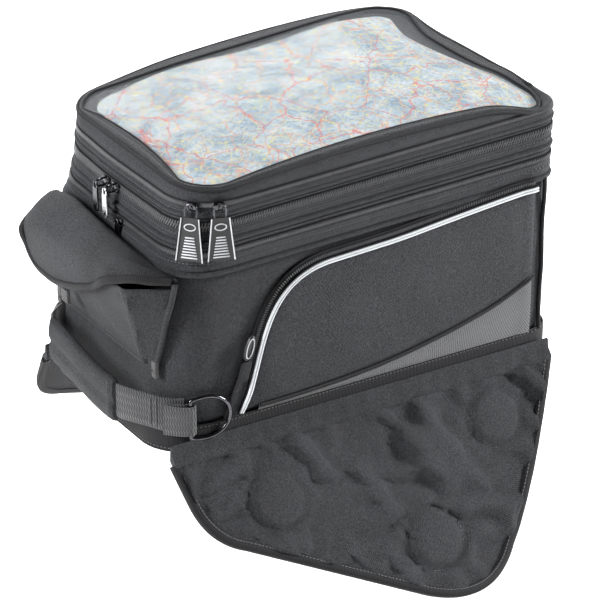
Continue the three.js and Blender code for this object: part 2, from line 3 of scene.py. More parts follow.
import bpy
import numpy as np
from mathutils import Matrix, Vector


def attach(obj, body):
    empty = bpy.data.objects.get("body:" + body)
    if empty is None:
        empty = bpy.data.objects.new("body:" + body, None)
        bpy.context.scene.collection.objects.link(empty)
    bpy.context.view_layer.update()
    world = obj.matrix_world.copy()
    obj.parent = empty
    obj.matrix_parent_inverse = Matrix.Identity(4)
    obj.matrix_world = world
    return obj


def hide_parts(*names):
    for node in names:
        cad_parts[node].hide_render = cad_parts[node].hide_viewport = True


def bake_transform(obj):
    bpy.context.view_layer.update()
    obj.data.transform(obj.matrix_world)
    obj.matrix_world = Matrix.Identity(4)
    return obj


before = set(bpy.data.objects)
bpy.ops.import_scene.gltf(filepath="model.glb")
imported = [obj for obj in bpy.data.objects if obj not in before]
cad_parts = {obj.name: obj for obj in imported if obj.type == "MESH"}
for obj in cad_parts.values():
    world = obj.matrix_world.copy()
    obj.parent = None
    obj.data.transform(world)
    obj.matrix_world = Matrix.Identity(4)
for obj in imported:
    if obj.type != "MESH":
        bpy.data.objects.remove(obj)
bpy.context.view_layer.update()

# Lengths are millimetres until a mesh is made. +X is the riding direction, -Y the bag's right.
MM = 0.001
SIDES = (("right", -1), ("left", 1))

# ---- Plan outline and heights, as the frame has them -------------------------------------
REAR_X, FRONT_X = -178.0, 186.0
REAR_HALF, FRONT_HALF = 106.0, 124.0
REAR_CORNER, FRONT_CORNER = 42.0, 34.0
TILT = 0.022 / 185
SLOPE = (FRONT_HALF - REAR_HALF) / (FRONT_X - REAR_X)
SIDE_ANGLE = math.atan(SLOPE)

LOW_SEAM, MAIN_SEAM, MAP_SEAM = 184.2, 209.0, 227.8
SHELL_TOP = 163.0
DOME = (350.0, 232.0, 55.0)
CREST = 254.0
FRONT_DROOP = 12.0               # the cover's front edge rolls down this far
HINGE_HALF = 84.0


def rampup(low, high, x):
    """Smoothly from 0 at low to 1 at high; low may be the larger."""
    t = np.clip((np.asarray(x, float) - low) / (high - low), 0, 1)
    return t * t * (3 - 2 * t)


def neutral_half(x):
    return REAR_HALF + (x - REAR_X) * SLOPE


def lower_walls(z):
    """Rear and front wall and the half widths there, at height z, below the zips."""
    return -188 + 0.095 * z, 186 - 0.01 * z, 101 + 0.015 * z, 122 + 0.015 * z


def stack_walls(z):
    """The same for the zipped section above."""
    return -201.9 + 0.151 * z, 187 + 0 * z, 104 + 0.03 * z, 122 + 0.01 * z


def lean(x, y, z, walls):
    """From the neutral outline to the leaning walls at height z, as points."""
    x, y, z = np.broadcast_arrays(*(np.asarray(v, float) for v in (x, y, z)))
    rear, front, rear_half, front_half = walls(z)
    along = (x - REAR_X) / (FRONT_X - REAR_X)
    wide = (rear_half + (front_half - rear_half) * along) / neutral_half(x)
    out_x = rear + (front - rear) * along
    return np.stack([out_x, y * wide, z * (1 + TILT * out_x)], -1)


def outline_table():
    """Points and outward normals round the neutral outline, from the middle of the front."""
    def corner(x, radius, side):
        return x, side * (neutral_half(x) - radius / math.cos(SIDE_ANGLE)), radius
    right = math.pi / 2
    arcs = [
        (corner(FRONT_X - FRONT_CORNER, FRONT_CORNER, 1), 0, right + SIDE_ANGLE),
        (corner(REAR_X + REAR_CORNER, REAR_CORNER, 1), right + SIDE_ANGLE, 2 * right),
        (corner(REAR_X + REAR_CORNER, REAR_CORNER, -1), 2 * right, 3 * right - SIDE_ANGLE),
        (corner(FRONT_X - FRONT_CORNER, FRONT_CORNER, -1), 3 * right - SIDE_ANGLE, 4 * right),
    ]
    rows = [(FRONT_X, 0.0, 1.0, 0.0)]
    for (x, y, radius), start, end in arcs:
        for angle in np.linspace(start, end, 25):
            c, s = math.cos(angle), math.sin(angle)
            rows.append((x + radius * c, y + radius * s, c, s))
    rows.append(rows[0])
    table = np.array(rows)
    steps = np.hypot(*np.diff(table[:, :2], axis=0).T)
    return np.concatenate([[0], np.cumsum(steps)]), table


OUTLINE_S, OUTLINE = outline_table()
ROUND = OUTLINE_S[-1]              # length of the whole outline


def outline_at(s):
    return [np.interp(np.mod(s, ROUND), OUTLINE_S, OUTLINE[:, i]) for i in range(4)]


def plan(s, grow=0.0):
    """The neutral outline at length s round it, moved outwards by grow."""
    x, y, nx, ny = outline_at(s)
    size = np.hypot(nx, ny)
    return x + nx / size * grow, y + ny / size * grow


def fuller(s, z, gone):
    """How far the stuffed front corners stand out past the outline; none at height gone."""
    _, _, nx, ny = outline_at(s)
    return 6.0 * (2 * nx * ny) ** 2 * (nx > 0) * rampup(gone, gone - 16, z)


def forward(points, gone=999.0):
    """The front panel bulges forwards."""
    moved = points.copy()
    fade = rampup(gone, gone - 14, points[..., 2])
    moved[..., 0] += 3.5 * rampup(80, 186, points[..., 0]) * fade
    return moved


def settle(points):
    """The upper bag has slumped a little at its rear left corner."""
    x, y, z = points[..., 0], points[..., 1], points[..., 2]
    pull = rampup(-70, -190, x) * rampup(0, 100, y) * rampup(150, 200, z)
    moved = points.copy()
    moved[..., 1] -= 7 * pull
    moved[..., 0] += 5 * pull
    return moved


def stack(s, grow, z):
    x, y = plan(s, grow + fuller(s, z, 242))
    return forward(settle(lean(x, y, z, stack_walls)), 246)


def lower(s, grow, z):
    x, y = plan(s, grow + fuller(s, z, 999))
    return forward(lean(x, y, z, lower_walls))


def ripple(points, length, seed=0):
    """A smooth, seeded unevenness from -1 to 1 with about that wavelength."""
    draw = np.random.default_rng(seed)
    total = 0
    for _ in range(5):
        way = draw.normal(size=3)
        way *= 2 * math.pi / (length * draw.uniform(0.7, 1.6) * np.linalg.norm(way))
        total = total + np.sin(points @ way + draw.uniform(0, 6.28))
    return total / 5


# ---- Making meshes -----------------------------------------------------------------------
def deselect():
    if bpy.context.object and bpy.context.object.mode != "OBJECT":
        bpy.ops.object.mode_set(mode="OBJECT")
    bpy.ops.object.select_all(action="DESELECT")


def activate(piece):
    deselect()
    piece.select_set(True)
    bpy.context.view_layer.objects.active = piece


def edit(piece):
    activate(piece)
    bpy.ops.object.mode_set(mode="EDIT")
    bpy.ops.mesh.select_mode(type="VERT")
    bpy.ops.mesh.select_all(action="SELECT")


def smooth(piece, degrees=40):
    activate(piece)
    bpy.ops.object.shade_smooth_by_angle(angle=math.radians(degrees))
    return piece


def thicken(piece, thickness, offset=-1.0):
    """Gives a sheet its thickness in mm, below its face."""
    activate(piece)
    modifier = piece.modifiers.new("Solidify", "SOLIDIFY")
    modifier.thickness, modifier.offset = thickness * MM, offset
    bpy.ops.object.modifier_apply(modifier=modifier.name)
    return piece


def xyz(*columns):
    """Points from their coordinates; a single number is repeated."""
    return np.stack(np.broadcast_arrays(*(np.asarray(c, float) for c in columns)), -1)


def corners(piece):
    """A piece's vertices as rows, in metres."""
    flat = np.zeros(len(piece.data.vertices) * 3)
    piece.data.vertices.foreach_get("co", flat)
    return flat.reshape(-1, 3)


def walked(points, axis):
    """Distance along one axis of a grid of points, as a row, averaged over the other."""
    steps = np.linalg.norm(np.diff(points, axis=axis), axis=2).mean(axis=1 - axis)
    return np.concatenate([[0], np.cumsum(steps)])


def cloth_grid(name, points, rings=False, loops=False, caps=False, angle=40):
    """A grid primitive laid on points (rows, columns, 3). rings closes the columns, loops the
    rows, and caps fills the open ends. Its UV map is in metres."""
    points = np.asarray(points, float) * MM
    if rings:
        points = np.concatenate([points, points[:, :1]], axis=1)
    if loops:
        points = np.concatenate([points, points[:1]], axis=0)
    rows, columns = points.shape[:2]
    deselect()
    bpy.ops.mesh.primitive_grid_add(
        x_subdivisions=rows - 1, y_subdivisions=columns - 1, size=2, location=(0, 0, 0))
    piece = bpy.context.object
    piece.name = piece.data.name = name
    mesh = piece.data
    flat = corners(piece)
    i = np.rint((flat[:, 0] + 1) / 2 * (rows - 1)).astype(int)
    j = np.rint((flat[:, 1] + 1) / 2 * (columns - 1)).astype(int)
    mesh.vertices.foreach_set("co", points[i, j].ravel())
    corner = np.zeros(len(mesh.loops), int)
    mesh.loops.foreach_get("vertex_index", corner)
    uv = np.stack([walked(points, 0)[i[corner]], walked(points, 1)[j[corner]]], 1)
    mesh.uv_layers.active.data.foreach_set("uv", uv.ravel())
    edit(piece)
    if rings or loops or caps:
        bpy.ops.mesh.remove_doubles(threshold=1e-6)
    if caps:
        bpy.ops.mesh.select_all(action="DESELECT")
        bpy.ops.mesh.select_non_manifold()
        bpy.ops.mesh.fill_holes(sides=0)
        bpy.ops.mesh.select_all(action="SELECT")
    if caps or (rings and loops):
        bpy.ops.mesh.normals_make_consistent(inside=False)
    deselect()
    return smooth(piece, angle)


def sheet_grid(name, points, thick, angle=50):
    return smooth(thicken(cloth_grid(name, points, angle=angle), thick), angle)


def placed(piece, mapping):
    """Moves a piece's vertices (in mm) through a mapping, then turns its faces outwards."""
    moved = mapping(corners(piece) / MM) * MM
    piece.data.vertices.foreach_set("co", moved.ravel())
    edit(piece)
    bpy.ops.mesh.normals_make_consistent(inside=False)
    deselect()
    return piece


def block(name, size, centre=(0, 0, 0), bevel=0.0, segments=2):
    """A cube at its size and place with its edges bevelled, in mm."""
    deselect()
    bpy.ops.mesh.primitive_cube_add(size=1, location=(0, 0, 0))
    piece = bpy.context.object
    piece.name = piece.data.name = name
    edit(piece)
    bpy.ops.transform.resize(value=[v * MM for v in size])
    if bevel:
        bpy.ops.mesh.bevel(offset=bevel * MM, segments=segments, affect="EDGES")
    bpy.ops.transform.translate(value=[v * MM for v in centre])
    deselect()
    return piece


def join(name, pieces):
    deselect()
    for piece in pieces:
        piece.select_set(True)
    bpy.context.view_layer.objects.active = pieces[0]
    if len(pieces) > 1:
        bpy.ops.object.join()
    pieces[0].name = pieces[0].data.name = name
    return pieces[0]


def scatter(name, seed_piece, origin, along, out, up, angle=50):
    """Copies one small piece to many places: its x, y and z follow along, out and up."""
    local = corners(seed_piece) / MM
    faces = [tuple(face.vertices) for face in seed_piece.data.polygons]
    bpy.data.objects.remove(seed_piece)
    all_points = (origin[:, None] + local[None, :, 0:1] * along[:, None]
                  + local[None, :, 1:2] * out[:, None] + local[None, :, 2:3] * up[:, None])
    count, each = all_points.shape[:2]
    made = bpy.data.meshes.new(name)
    made.from_pydata((all_points.reshape(-1, 3) * MM).tolist(), [],
                     [tuple(v + k * each for v in f) for k in range(count) for f in faces])
    made.uv_layers.new(name="UVMap")
    piece = bpy.data.objects.new(name, made)
    bpy.context.scene.collection.objects.link(piece)
    placed(piece, lambda p: p)
    return smooth(piece, angle)


def unit(v):
    return v / np.linalg.norm(v, axis=-1, keepdims=True)


def frames_on(surface, s, z):
    """Origin, along, out and up on a surface function of (s, z)."""
    along = unit(surface(s + 0.4, z) - surface(s - 0.4, z))
    up = unit(surface(s, z + 0.4) - surface(s, z - 0.4))
    out = unit(np.cross(along, up))
    return surface(s, z), along, out, unit(np.cross(out, along))


def tube(name, path, radius, sides=10, closed=False, flatten=1.0):
    """A round cord along a path of points; closed joins its ends."""
    path = np.asarray(path, float)
    if closed:
        ahead, behind = np.roll(path, -1, 0), np.roll(path, 1, 0)
    else:
        ahead = np.concatenate([path[1:], path[-1:] * 2 - path[-2:-1]])
        behind = np.concatenate([path[:1] * 2 - path[1:2], path[:-1]])
    way = unit(ahead - behind)
    side = np.zeros_like(way)
    seed = np.array([0.0, 0, 1]) if abs(way[0][2]) < 0.9 else np.array([1.0, 0, 0])
    for k, w in enumerate(way):
        seed = unit(seed - w * (seed @ w))
        side[k] = seed
    other = np.cross(way, side)
    turn = np.linspace(0, 2 * math.pi, sides, endpoint=False)
    rings = path[:, None] + radius * (np.cos(turn)[None, :, None] * side[:, None]
                                      + flatten * np.sin(turn)[None, :, None] * other[:, None])
    return cloth_grid(name, rings, rings=True, loops=closed, caps=not closed, angle=60)


def smooth_path(points, count):
    """A Catmull-Rom curve through the points, spaced evenly."""
    p = np.asarray(points, float)
    p = np.concatenate([p[:1] * 2 - p[1:2], p, p[-1:] * 2 - p[-2:-1]])
    made = []
    for a, b, c, d in zip(p, p[1:], p[2:], p[3:]):
        t = np.linspace(0, 1, 16, endpoint=False)[:, None]
        made.append(0.5 * (2 * b + (c - a) * t + (2 * a - 5 * b + 4 * c - d) * t ** 2
                           + (3 * b - a - 3 * c + d) * t ** 3))
    made = np.concatenate(made + [p[-2:-1]])
    run = np.concatenate([[0], np.cumsum(np.linalg.norm(np.diff(made, axis=0), axis=1))])
    at = np.linspace(0, run[-1], count)
    return np.stack([np.interp(at, run, made[:, k]) for k in range(made.shape[1])], 1)


# ---- Finishes ----------------------------------------------------------------------------
class Value:
    """A node's output; arithmetic on it adds Math nodes."""

    def __init__(self, finish, socket):
        self.finish, self.socket = finish, socket

    def _math(self, operation, first, second=0.0):
        return self.finish.node("ShaderNodeMath", {"operation": operation},
                                {0: first, 1: second})

    def __add__(self, other):
        return self._math("ADD", self, other)

    def __sub__(self, other):
        return self._math("SUBTRACT", self, other)

    def __rsub__(self, other):
        return self._math("SUBTRACT", other, self)

    def __mul__(self, other):
        return self._math("MULTIPLY", self, other)

    __radd__, __rmul__ = __add__, __mul__

    def sine(self):
        return self._math("SINE", self)

    def absolute(self):
        return self._math("ABSOLUTE", self)

    def waves(self, pitch):
        """A sine along this length, once every pitch."""
        return (self * (2 * math.pi / pitch)).sine()

    def ramp(self, low, high):
        """0 below low, 1 above high, straight between."""
        return self.finish.node("ShaderNodeMapRange", {}, {0: self, 1: low, 2: high}, 0)


class Finish:
    """One material of the bag."""

    def __init__(self, name, colour, roughness, slot, **constants):
        self.material = bpy.data.materials.new(name)
        self.material.use_nodes = True
        self.tree = self.material.node_tree
        self.shader = self.tree.nodes["Principled BSDF"]
        self.slot = slot
        self.shader.inputs["Base Color"].default_value = (*colour, 1)
        self.shader.inputs["Roughness"].default_value = roughness
        for key, value in constants.items():
            self.shader.inputs[key.replace("_", " ")].default_value = value

    def node(self, kind, settings=None, inputs=None, output=0):
        made = self.tree.nodes.new(kind)
        for key, value in (settings or {}).items():
            if key == "stops":
                ramp = made.color_ramp
                while len(ramp.elements) < len(value):
                    ramp.elements.new(1.0)
                for element, (place, shade) in zip(ramp.elements, value):
                    element.position, element.color = place, (*shade, 1)
            else:
                setattr(made, key, value)
        for key, value in (inputs or {}).items():
            self.link(value, made.inputs[key])
        return Value(self, made.outputs[output])

    def link(self, value, socket):
        if isinstance(value, Value):
            self.tree.links.new(value.socket, socket)
        else:
            socket.default_value = value

    def feed(self, socket, value):
        self.link(value, self.shader.inputs[socket])

    def place(self, uv=False):
        return self.node("ShaderNodeTexCoord", {}, {}, 2 if uv else 3)

    def parts(self, vector):
        cut = self.node("ShaderNodeSeparateXYZ", {}, {0: vector})
        outputs = cut.socket.node.outputs
        return [Value(self, outputs[k]) for k in range(3)]

    def noise(self, vector, scale, detail=2.0, roughness=0.5, distortion=0.0):
        return self.node("ShaderNodeTexNoise", {}, {
            "Vector": vector, "Scale": scale, "Detail": detail, "Roughness": roughness,
            "Distortion": distortion})

    def cells(self, vector, scale, feature="F1"):
        return self.node("ShaderNodeTexVoronoi", {"feature": feature},
                         {"Vector": vector, "Scale": scale})

    def mix(self, factor, first, second):
        wide = [(*v, 1) if isinstance(v, tuple) else v for v in (first, second)]
        made = self.node("ShaderNodeMix", {"data_type": "RGBA"},
                         {0: factor, 6: wide[0], 7: wide[1]})
        return Value(self, made.socket.node.outputs[2])

    def bump(self, height, distance, strength=1.0):
        self.feed("Normal", self.node("ShaderNodeBump", {}, {
            "Strength": strength, "Distance": distance, "Height": height}))


def weave(finish, pitch):
    """Crossing threads on the cloth's own UV, from 0 to 1."""
    u, v, _ = finish.parts(finish.place(uv=True))
    return u.waves(pitch) * v.waves(pitch) * 0.5 + 0.5


def cordura(name="bag_cordura", colour=(0.0235, 0.0242, 0.0265), pitch=0.0015):
    f = Finish(name, colour, 0.62, "shell_fabric", Sheen_Weight=0.04, Sheen_Roughness=0.4,
               Specular_IOR_Level=0.14)
    where = f.place()
    threads = weave(f, pitch)
    patches = f.noise(where, 18.0, 3.0)
    grain_and_glint_specks = f.noise(where, 820.0, 1.5)
    fibres = f.noise(where, 1900.0, 1.0)
    # The bright specks are partly the cloth's grain and partly painted highlights: glints of
    # the threads painted into its colour.
    tone = grain_and_glint_specks * 0.6 + fibres * 0.3 + threads * 0.22 + patches * 0.14
    dark = tuple(c * 0.3 for c in colour)
    light = tuple(c * 2.7 for c in colour)
    f.feed("Base Color", f.mix(tone.ramp(0.46, 0.84), dark, light))
    f.feed("Roughness", 0.52 + 0.3 * fibres)
    f.bump(threads * 0.7 + grain_and_glint_specks * 0.9, 0.0008, 1.0)
    return f


def grosgrain():
    f = Finish("edge_grosgrain", (0.014, 0.014, 0.016), 0.6, "binding_tape",
               Specular_IOR_Level=0.16)
    u = f.parts(f.place(uv=True))[0]
    ribs = u.waves(0.0014) * 0.5 + 0.5
    fibres = f.noise(f.place(), 700.0)
    f.feed("Base Color", f.mix(ribs * 0.6 + fibres * 0.4, (0.003, 0.003, 0.0035),
                               (0.020, 0.020, 0.022)))
    f.feed("Roughness", 0.48 + 0.25 * fibres)
    f.bump(ribs + fibres * 0.3, 0.0003, 0.8)
    return f


def strap_webbing():
    f = Finish("strap_webbing", (0.02, 0.02, 0.022), 0.55, "webbing", Sheen_Weight=0.3,
               Specular_IOR_Level=0.45)
    u, v, _ = f.parts(f.place(uv=True))
    cross = u.waves(0.0022)
    zig = v.waves(0.0065)
    ribs = (u + zig * 0.0005).waves(0.0022) * 0.5 + 0.5
    fibres = f.noise(f.place(), 800.0)
    f.feed("Base Color", f.mix(ribs * 0.7 + fibres * 0.3, (0.007, 0.007, 0.008),
                               (0.045, 0.046, 0.050)))
    f.feed("Roughness", 0.42 + 0.3 * fibres + 0.05 * cross)
    f.bump(ribs + fibres * 0.2, 0.0006, 0.9)
    return f


def pocket_net():
    f = Finish("pocket_net", (0.04, 0.04, 0.043), 0.55, "mesh_cloth", Sheen_Weight=0.2)
    u, v, _ = f.parts(f.place(uv=True))
    lattice = (u + v).waves(0.0042) * (u - v).waves(0.0042)
    cords = 1 - lattice.absolute()
    holes = cords.ramp(0.25, 0.65)
    f.feed("Base Color", f.mix(holes, (0.004, 0.004, 0.005), (0.10, 0.102, 0.108)))
    f.feed("Roughness", 0.75 - 0.25 * holes)
    f.bump(holes, 0.0009, 1.0)
    return f


def nylon_coil():
    f = Finish("zip_nylon", (0.016, 0.016, 0.018), 0.32, "zip_teeth",
               Specular_IOR_Level=0.6)
    glint_and_wear = f.noise(f.place(), 260.0)
    # The coil's colour is painted lighter than its black nylon: painted highlights on the
    # teeth, varied at random by the noise, which also varies the roughness.
    f.feed("Base Color", f.mix(glint_and_wear, (0.030, 0.030, 0.033), (0.105, 0.106, 0.112)))
    f.feed("Roughness", 0.24 + 0.22 * glint_and_wear)
    return f


def metal(name, slot, colour, roughness):
    f = Finish(name, colour, roughness, slot, Metallic=1.0)
    scratches = f.noise(f.node("ShaderNodeMapping", {}, {
        "Vector": f.place(), "Scale": (1.0, 1.0, 6.0)}), 320.0, 3.0)
    worn = tuple(min(1.0, c * 1.7 + 0.05) for c in colour)
    f.feed("Base Color", f.mix(scratches.ramp(0.45, 0.8), colour, worn))
    f.feed("Roughness", roughness * 0.75 + roughness * 0.6 * scratches)
    return f


def soft_rubber(name="pull_rubber", colour=(0.014, 0.014, 0.015)):
    f = Finish(name, colour, 0.45, "pull_rubber", Specular_IOR_Level=0.5)
    grain = f.noise(f.place(), 520.0, 3.0)
    light = tuple(c * 1.6 for c in colour)
    f.feed("Base Color", f.mix(grain, colour, light))
    f.feed("Roughness", 0.34 + 0.3 * grain)
    f.bump(grain, 0.00012, 0.6)
    return f


def silver_piping():
    f = Finish("silver_piping", (0.62, 0.64, 0.66), 0.3, "reflective_piping",
               Specular_IOR_Level=0.6, Coat_Weight=0.25)
    u = f.parts(f.place(uv=True))[0]
    beads = f.noise(f.place(), 1500.0, 1.0)
    creases = u.waves(0.0019) * 0.5 + 0.5
    f.feed("Base Color", f.mix(beads * 0.6 + creases * 0.25, (0.42, 0.44, 0.46),
                               (0.86, 0.88, 0.90)))
    f.feed("Roughness", 0.22 + 0.25 * beads)
    f.bump(creases + beads * 0.3, 0.0001, 0.5)
    return f


def window_film():
    f = Finish("window_film", (0.30, 0.32, 0.34), 0.16, "clear_film", Specular_IOR_Level=0.06)
    haze = f.noise(f.place(), 7.0, 3.0)
    graze = f.node("ShaderNodeLayerWeight", {}, {"Blend": 0.35}, 0)
    f.feed("Alpha", 0.03 + 0.10 * graze + 0.05 * haze.ramp(0.5, 0.75))
    f.feed("Roughness", 0.03 + 0.07 * haze)
    f.material.surface_render_method = "BLENDED"
    return f


def road_map():
    f = Finish("road_map", (0.7, 0.76, 0.8), 0.62, "map_paper", Specular_IOR_Level=0.06)
    where = f.place()
    bent = f.node("ShaderNodeVectorMath", {"operation": "ADD"}, {
        0: where,
        1: f.node("ShaderNodeVectorMath", {"operation": "SCALE"}, {
            0: Value(f, f.noise(where, 70.0, 4.0).socket.node.outputs[1]), 3: 0.013})})
    relief = f.noise(where, 34.0, 8.0, 0.7, 0.6)
    land = f.node("ShaderNodeValToRGB", {"stops": [
        (0.38, (0.13, 0.19, 0.25)), (0.46, (0.21, 0.28, 0.33)),
        (0.54, (0.30, 0.36, 0.39)), (0.66, (0.42, 0.44, 0.46))]}, {0: relief})
    green = f.noise(where, 30.0, 3.0, 0.6).ramp(0.60, 0.68)
    colour = f.mix(green * 0.35, land, (0.33, 0.42, 0.27))
    ridges = f.noise(where, 300.0, 4.0, 0.7)
    colour = f.mix((1 - ridges.ramp(0.38, 0.50)) * 0.6, colour, (0.12, 0.15, 0.18))

    def lines(scale, width):
        return 1 - f.cells(bent, scale, "DISTANCE_TO_EDGE").ramp(width * 0.5, width)

    colour = f.mix(lines(190.0, 0.06) * 0.5, colour, (0.20, 0.22, 0.25))
    colour = f.mix(lines(88.0, 0.040) * 0.6, colour, (0.48, 0.40, 0.15))
    colour = f.mix(lines(40.0, 0.022) * 0.6, colour, (0.46, 0.18, 0.08))
    colour = f.mix(lines(17.0, 0.011) * 0.6, colour, (0.42, 0.05, 0.04))
    towns = 1 - f.cells(where, 85.0).ramp(0.10, 0.16)
    colour = f.mix(towns * 0.7, colour, (0.45, 0.42, 0.06))
    f.feed("Base Color", colour)
    f.feed("Roughness", 0.5 + 0.25 * relief)
    f.bump(relief, 0.0002, 0.3)
    return f


def plain_stock(name, slot, dark, light, roughness, scale, relief):
    f = Finish(name, dark, roughness, slot)
    grain = f.noise(f.place(), scale, 4.0)
    f.feed("Base Color", f.mix(grain, dark, light))
    f.feed("Roughness", roughness * 0.8 + roughness * 0.3 * grain)
    f.bump(grain, relief, 0.8)
    return f


CORDURA = cordura()
LIT_CORDURA = cordura("pocket_cordura", (0.024, 0.0246, 0.0268), 0.0012)
LINING = cordura("lining_cloth", (0.024, 0.0245, 0.027), 0.0007)
TAPE = grosgrain()
WEBBING = strap_webbing()
NET = pocket_net()
COIL = nylon_coil()
BLACK_METAL = metal("black_nickel", "black_metal", (0.06, 0.06, 0.066), 0.17)
BRIGHT_METAL = metal("bright_steel", "bright_metal", (0.56, 0.57, 0.58), 0.22)
RUBBER = soft_rubber()
PALE_RUBBER = soft_rubber("pull_rib_rubber", (0.40, 0.41, 0.42))
SILVER = silver_piping()
FILM = window_film()
MAP = road_map()
MAGNET = metal("magnet_steel", "magnet", (0.45, 0.46, 0.47), 0.32)
BASE_GRIP = plain_stock("base_grip", "base_rubber", (0.012, 0.012, 0.012),
                        (0.035, 0.035, 0.036), 0.8, 420.0, 0.0006)
BOARD = plain_stock("floor_stiffener", "board", (0.05, 0.05, 0.05), (0.09, 0.088, 0.085),
                    0.7, 160.0, 0.0002)
THREAD = plain_stock("seam_thread", "binding_tape", (0.030, 0.030, 0.032),
                     (0.100, 0.101, 0.106), 0.5, 900.0, 0.0001)


def dress(piece, finish, body=None, replaces=()):
    """Gives a piece its finish, its body and the nodes it stands for."""
    piece.data.materials.clear()
    piece.data.materials.append(finish.material)
    if body:
        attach(piece, body)
    if replaces:
        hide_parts(*replaces)
    return piece


# ---- Camera, floor and light -------------------------------------------------------------
def camera():
    azimuth, elevation, distance = math.radians(-33.3635), math.radians(27.9643), 2.6131
    back = Vector((math.sin(azimuth) * math.cos(elevation),
                   -math.cos(azimuth) * math.cos(elevation), math.sin(elevation)))
    made = bpy.data.objects.new("camera", bpy.data.cameras.new("camera"))
    bpy.context.scene.collection.objects.link(made)
    made.data.sensor_width, made.data.lens = 36.0, 181.64
    made.location = Vector((0.0062, -0.0037, 0.0494)) + back * distance
    made.rotation_euler = (-back).to_track_quat("-Z", "Y").to_euler()
    bpy.context.scene.camera = made


# Each light's name, place and size in metres, and power in watts.
LIGHTS = (("key_left", (-1.9, 0.15, 1.15), (0.6, 0.9), 74),
          ("top", (0.35, 0.7, 1.9), (0.8, 0.8), 34),
          ("front_right", (2.1, -0.95, 0.95), (0.35, 0.7), 120),
          ("back_rim", (0.6, 1.8, 1.0), (1.2, 0.8), 24))
LIT_POINT = Vector((0, 0, 0.08))
FLOOR_Z = -0.172


def softbox(name, place, size, power):
    lamp = bpy.data.lights.new(name, "AREA")
    lamp.shape, lamp.size, lamp.size_y, lamp.energy = "RECTANGLE", size[0], size[1], power
    made = bpy.data.objects.new(name, lamp)
    bpy.context.scene.collection.objects.link(made)
    made.location = place
    made.rotation_euler = (LIT_POINT - Vector(place)).to_track_quat("-Z", "Y").to_euler()


def studio():
    scene = bpy.context.scene
    scene.view_settings.view_transform = "Standard"
    world = bpy.data.worlds.new("studio")
    scene.world = world
    world.use_nodes = True
    colour, strength = world.node_tree.nodes["Background"].inputs[:2]
    colour.default_value, strength.default_value = (1, 1, 1, 1), 0.12
    for light in LIGHTS:
        softbox(*light)
    deselect()
    bpy.ops.mesh.primitive_plane_add(size=9, location=(0, 0, FLOOR_Z))
    floor = bpy.context.object
    floor.name = "studio_floor"
    pale = Finish("studio_floor", (0.93, 0.93, 0.93), 0.9, "", Emission_Color=(1, 1, 1, 1),
                  Emission_Strength=0.36)
    floor.data.materials.append(pale.material)


camera()
studio()

# ---- Bands, piping and base --------------------------------------------------------------
AROUND = np.linspace(0, ROUND, 181)[:-1]
STITCH_PITCH = 3.4


def band(name, surface, profile, finish, body, replaces=(), wrinkle=0.25):
    """A closed section (grow, z) carried round the outline."""
    profile = np.asarray(profile, float)
    grow, z = profile[None, :, 0], profile[None, :, 1]
    smooth_band = surface(AROUND[:, None], grow, z)
    grow = grow + wrinkle * ripple(smooth_band, 34, len(name))
    points = surface(AROUND[:, None], grow, z)
    piece = cloth_grid(name, points, rings=True, loops=True, angle=50)
    return dress(piece, finish, body, replaces)


def welt(z_low, z_high, proud, steps=6):
    """Half-round ridge in a profile, from z_low up to z_high."""
    middle, half = (z_low + z_high) / 2, (z_high - z_low) / 2
    angle = np.linspace(-math.pi / 2, math.pi / 2, steps + 1)
    return [(proud * math.cos(a) - 0.3, middle + half * math.sin(a)) for a in angle]


def seam(z, deep=1.7, half=0.6):
    return [(-0.1, z - half), (-deep, z), (-0.1, z + half)]


def sew(name, places, along, out, up, body=None, size=(2.3, 0.8, 0.8), bevel=0.2):
    """A row of stitches, one at each place; the ways may be the same for all of them."""
    grain = block("grain", size, bevel=bevel, segments=1)
    ways = [np.broadcast_to(np.asarray(way, float), places.shape) for way in (along, out, up)]
    return dress(scatter(name, grain, places, *ways), THREAD, body)


def stitches(name, surface, grow, z, body):
    """A row of stitches round the outline at one height."""
    s = np.linspace(0, ROUND, int(ROUND / STITCH_PITCH) + 1)[:-1]
    frames = frames_on(lambda a, b: surface(a, grow, b), s, np.full_like(s, z))
    return sew(name, *frames, body)


def nearest_s(x, y):
    """How far round the outline the place nearest to (x, y) lies."""
    return float(OUTLINE_S[np.argmin(np.hypot(OUTLINE[:, 0] - x, OUTLINE[:, 1] - y))])


CORNER_S = nearest_s(-166, -92)      # the near rear corner, where the shell folds


def bag_shell():
    """The padded walls: a cup with rounded hems, drawn in between its seams."""
    def swell(z):
        t = np.clip((z - 26) / (SHELL_TOP - 26), 0, 1)
        return -1.7 * (1 - np.sin(math.pi * t) ** 0.5)
    outer = [(-3, 3.5), (-0.8, 4.2), (0, 6)] + [(float(swell(z)), z)
                                                for z in np.linspace(12, 161, 26)]
    inner = [(-2.6, 163), (-3.6, 161.5)] + [(-3.9, z) for z in np.linspace(150, 10, 8)]
    rows = []
    for k, (grow, z) in enumerate(outer + inner + [(-5, 6.5)]):
        flat = lower(AROUND, 0, z)
        soft = 0.0
        if 3 <= k < len(outer):
            fade = rampup(20, 60, z) * rampup(163, 150, z)
            soft = fade * (0.7 * ripple(flat, 75, 3) + 0.35 * ripple(flat, 28, 4)) - 0.5 * fade
            corner = np.exp(-((AROUND - CORNER_S) / 26) ** 2)
            folds = np.sin(flat[:, 2] / 9 + flat[:, 0] / 14)
            soft = soft + 0.7 * corner * folds * rampup(110, 40, z)
        rows.append(lower(AROUND, grow + soft, z))
    piece = cloth_grid("bag_shell", rows, rings=True, caps=True, angle=60)
    dress(piece, CORDURA, "bag", ["main_shell"])


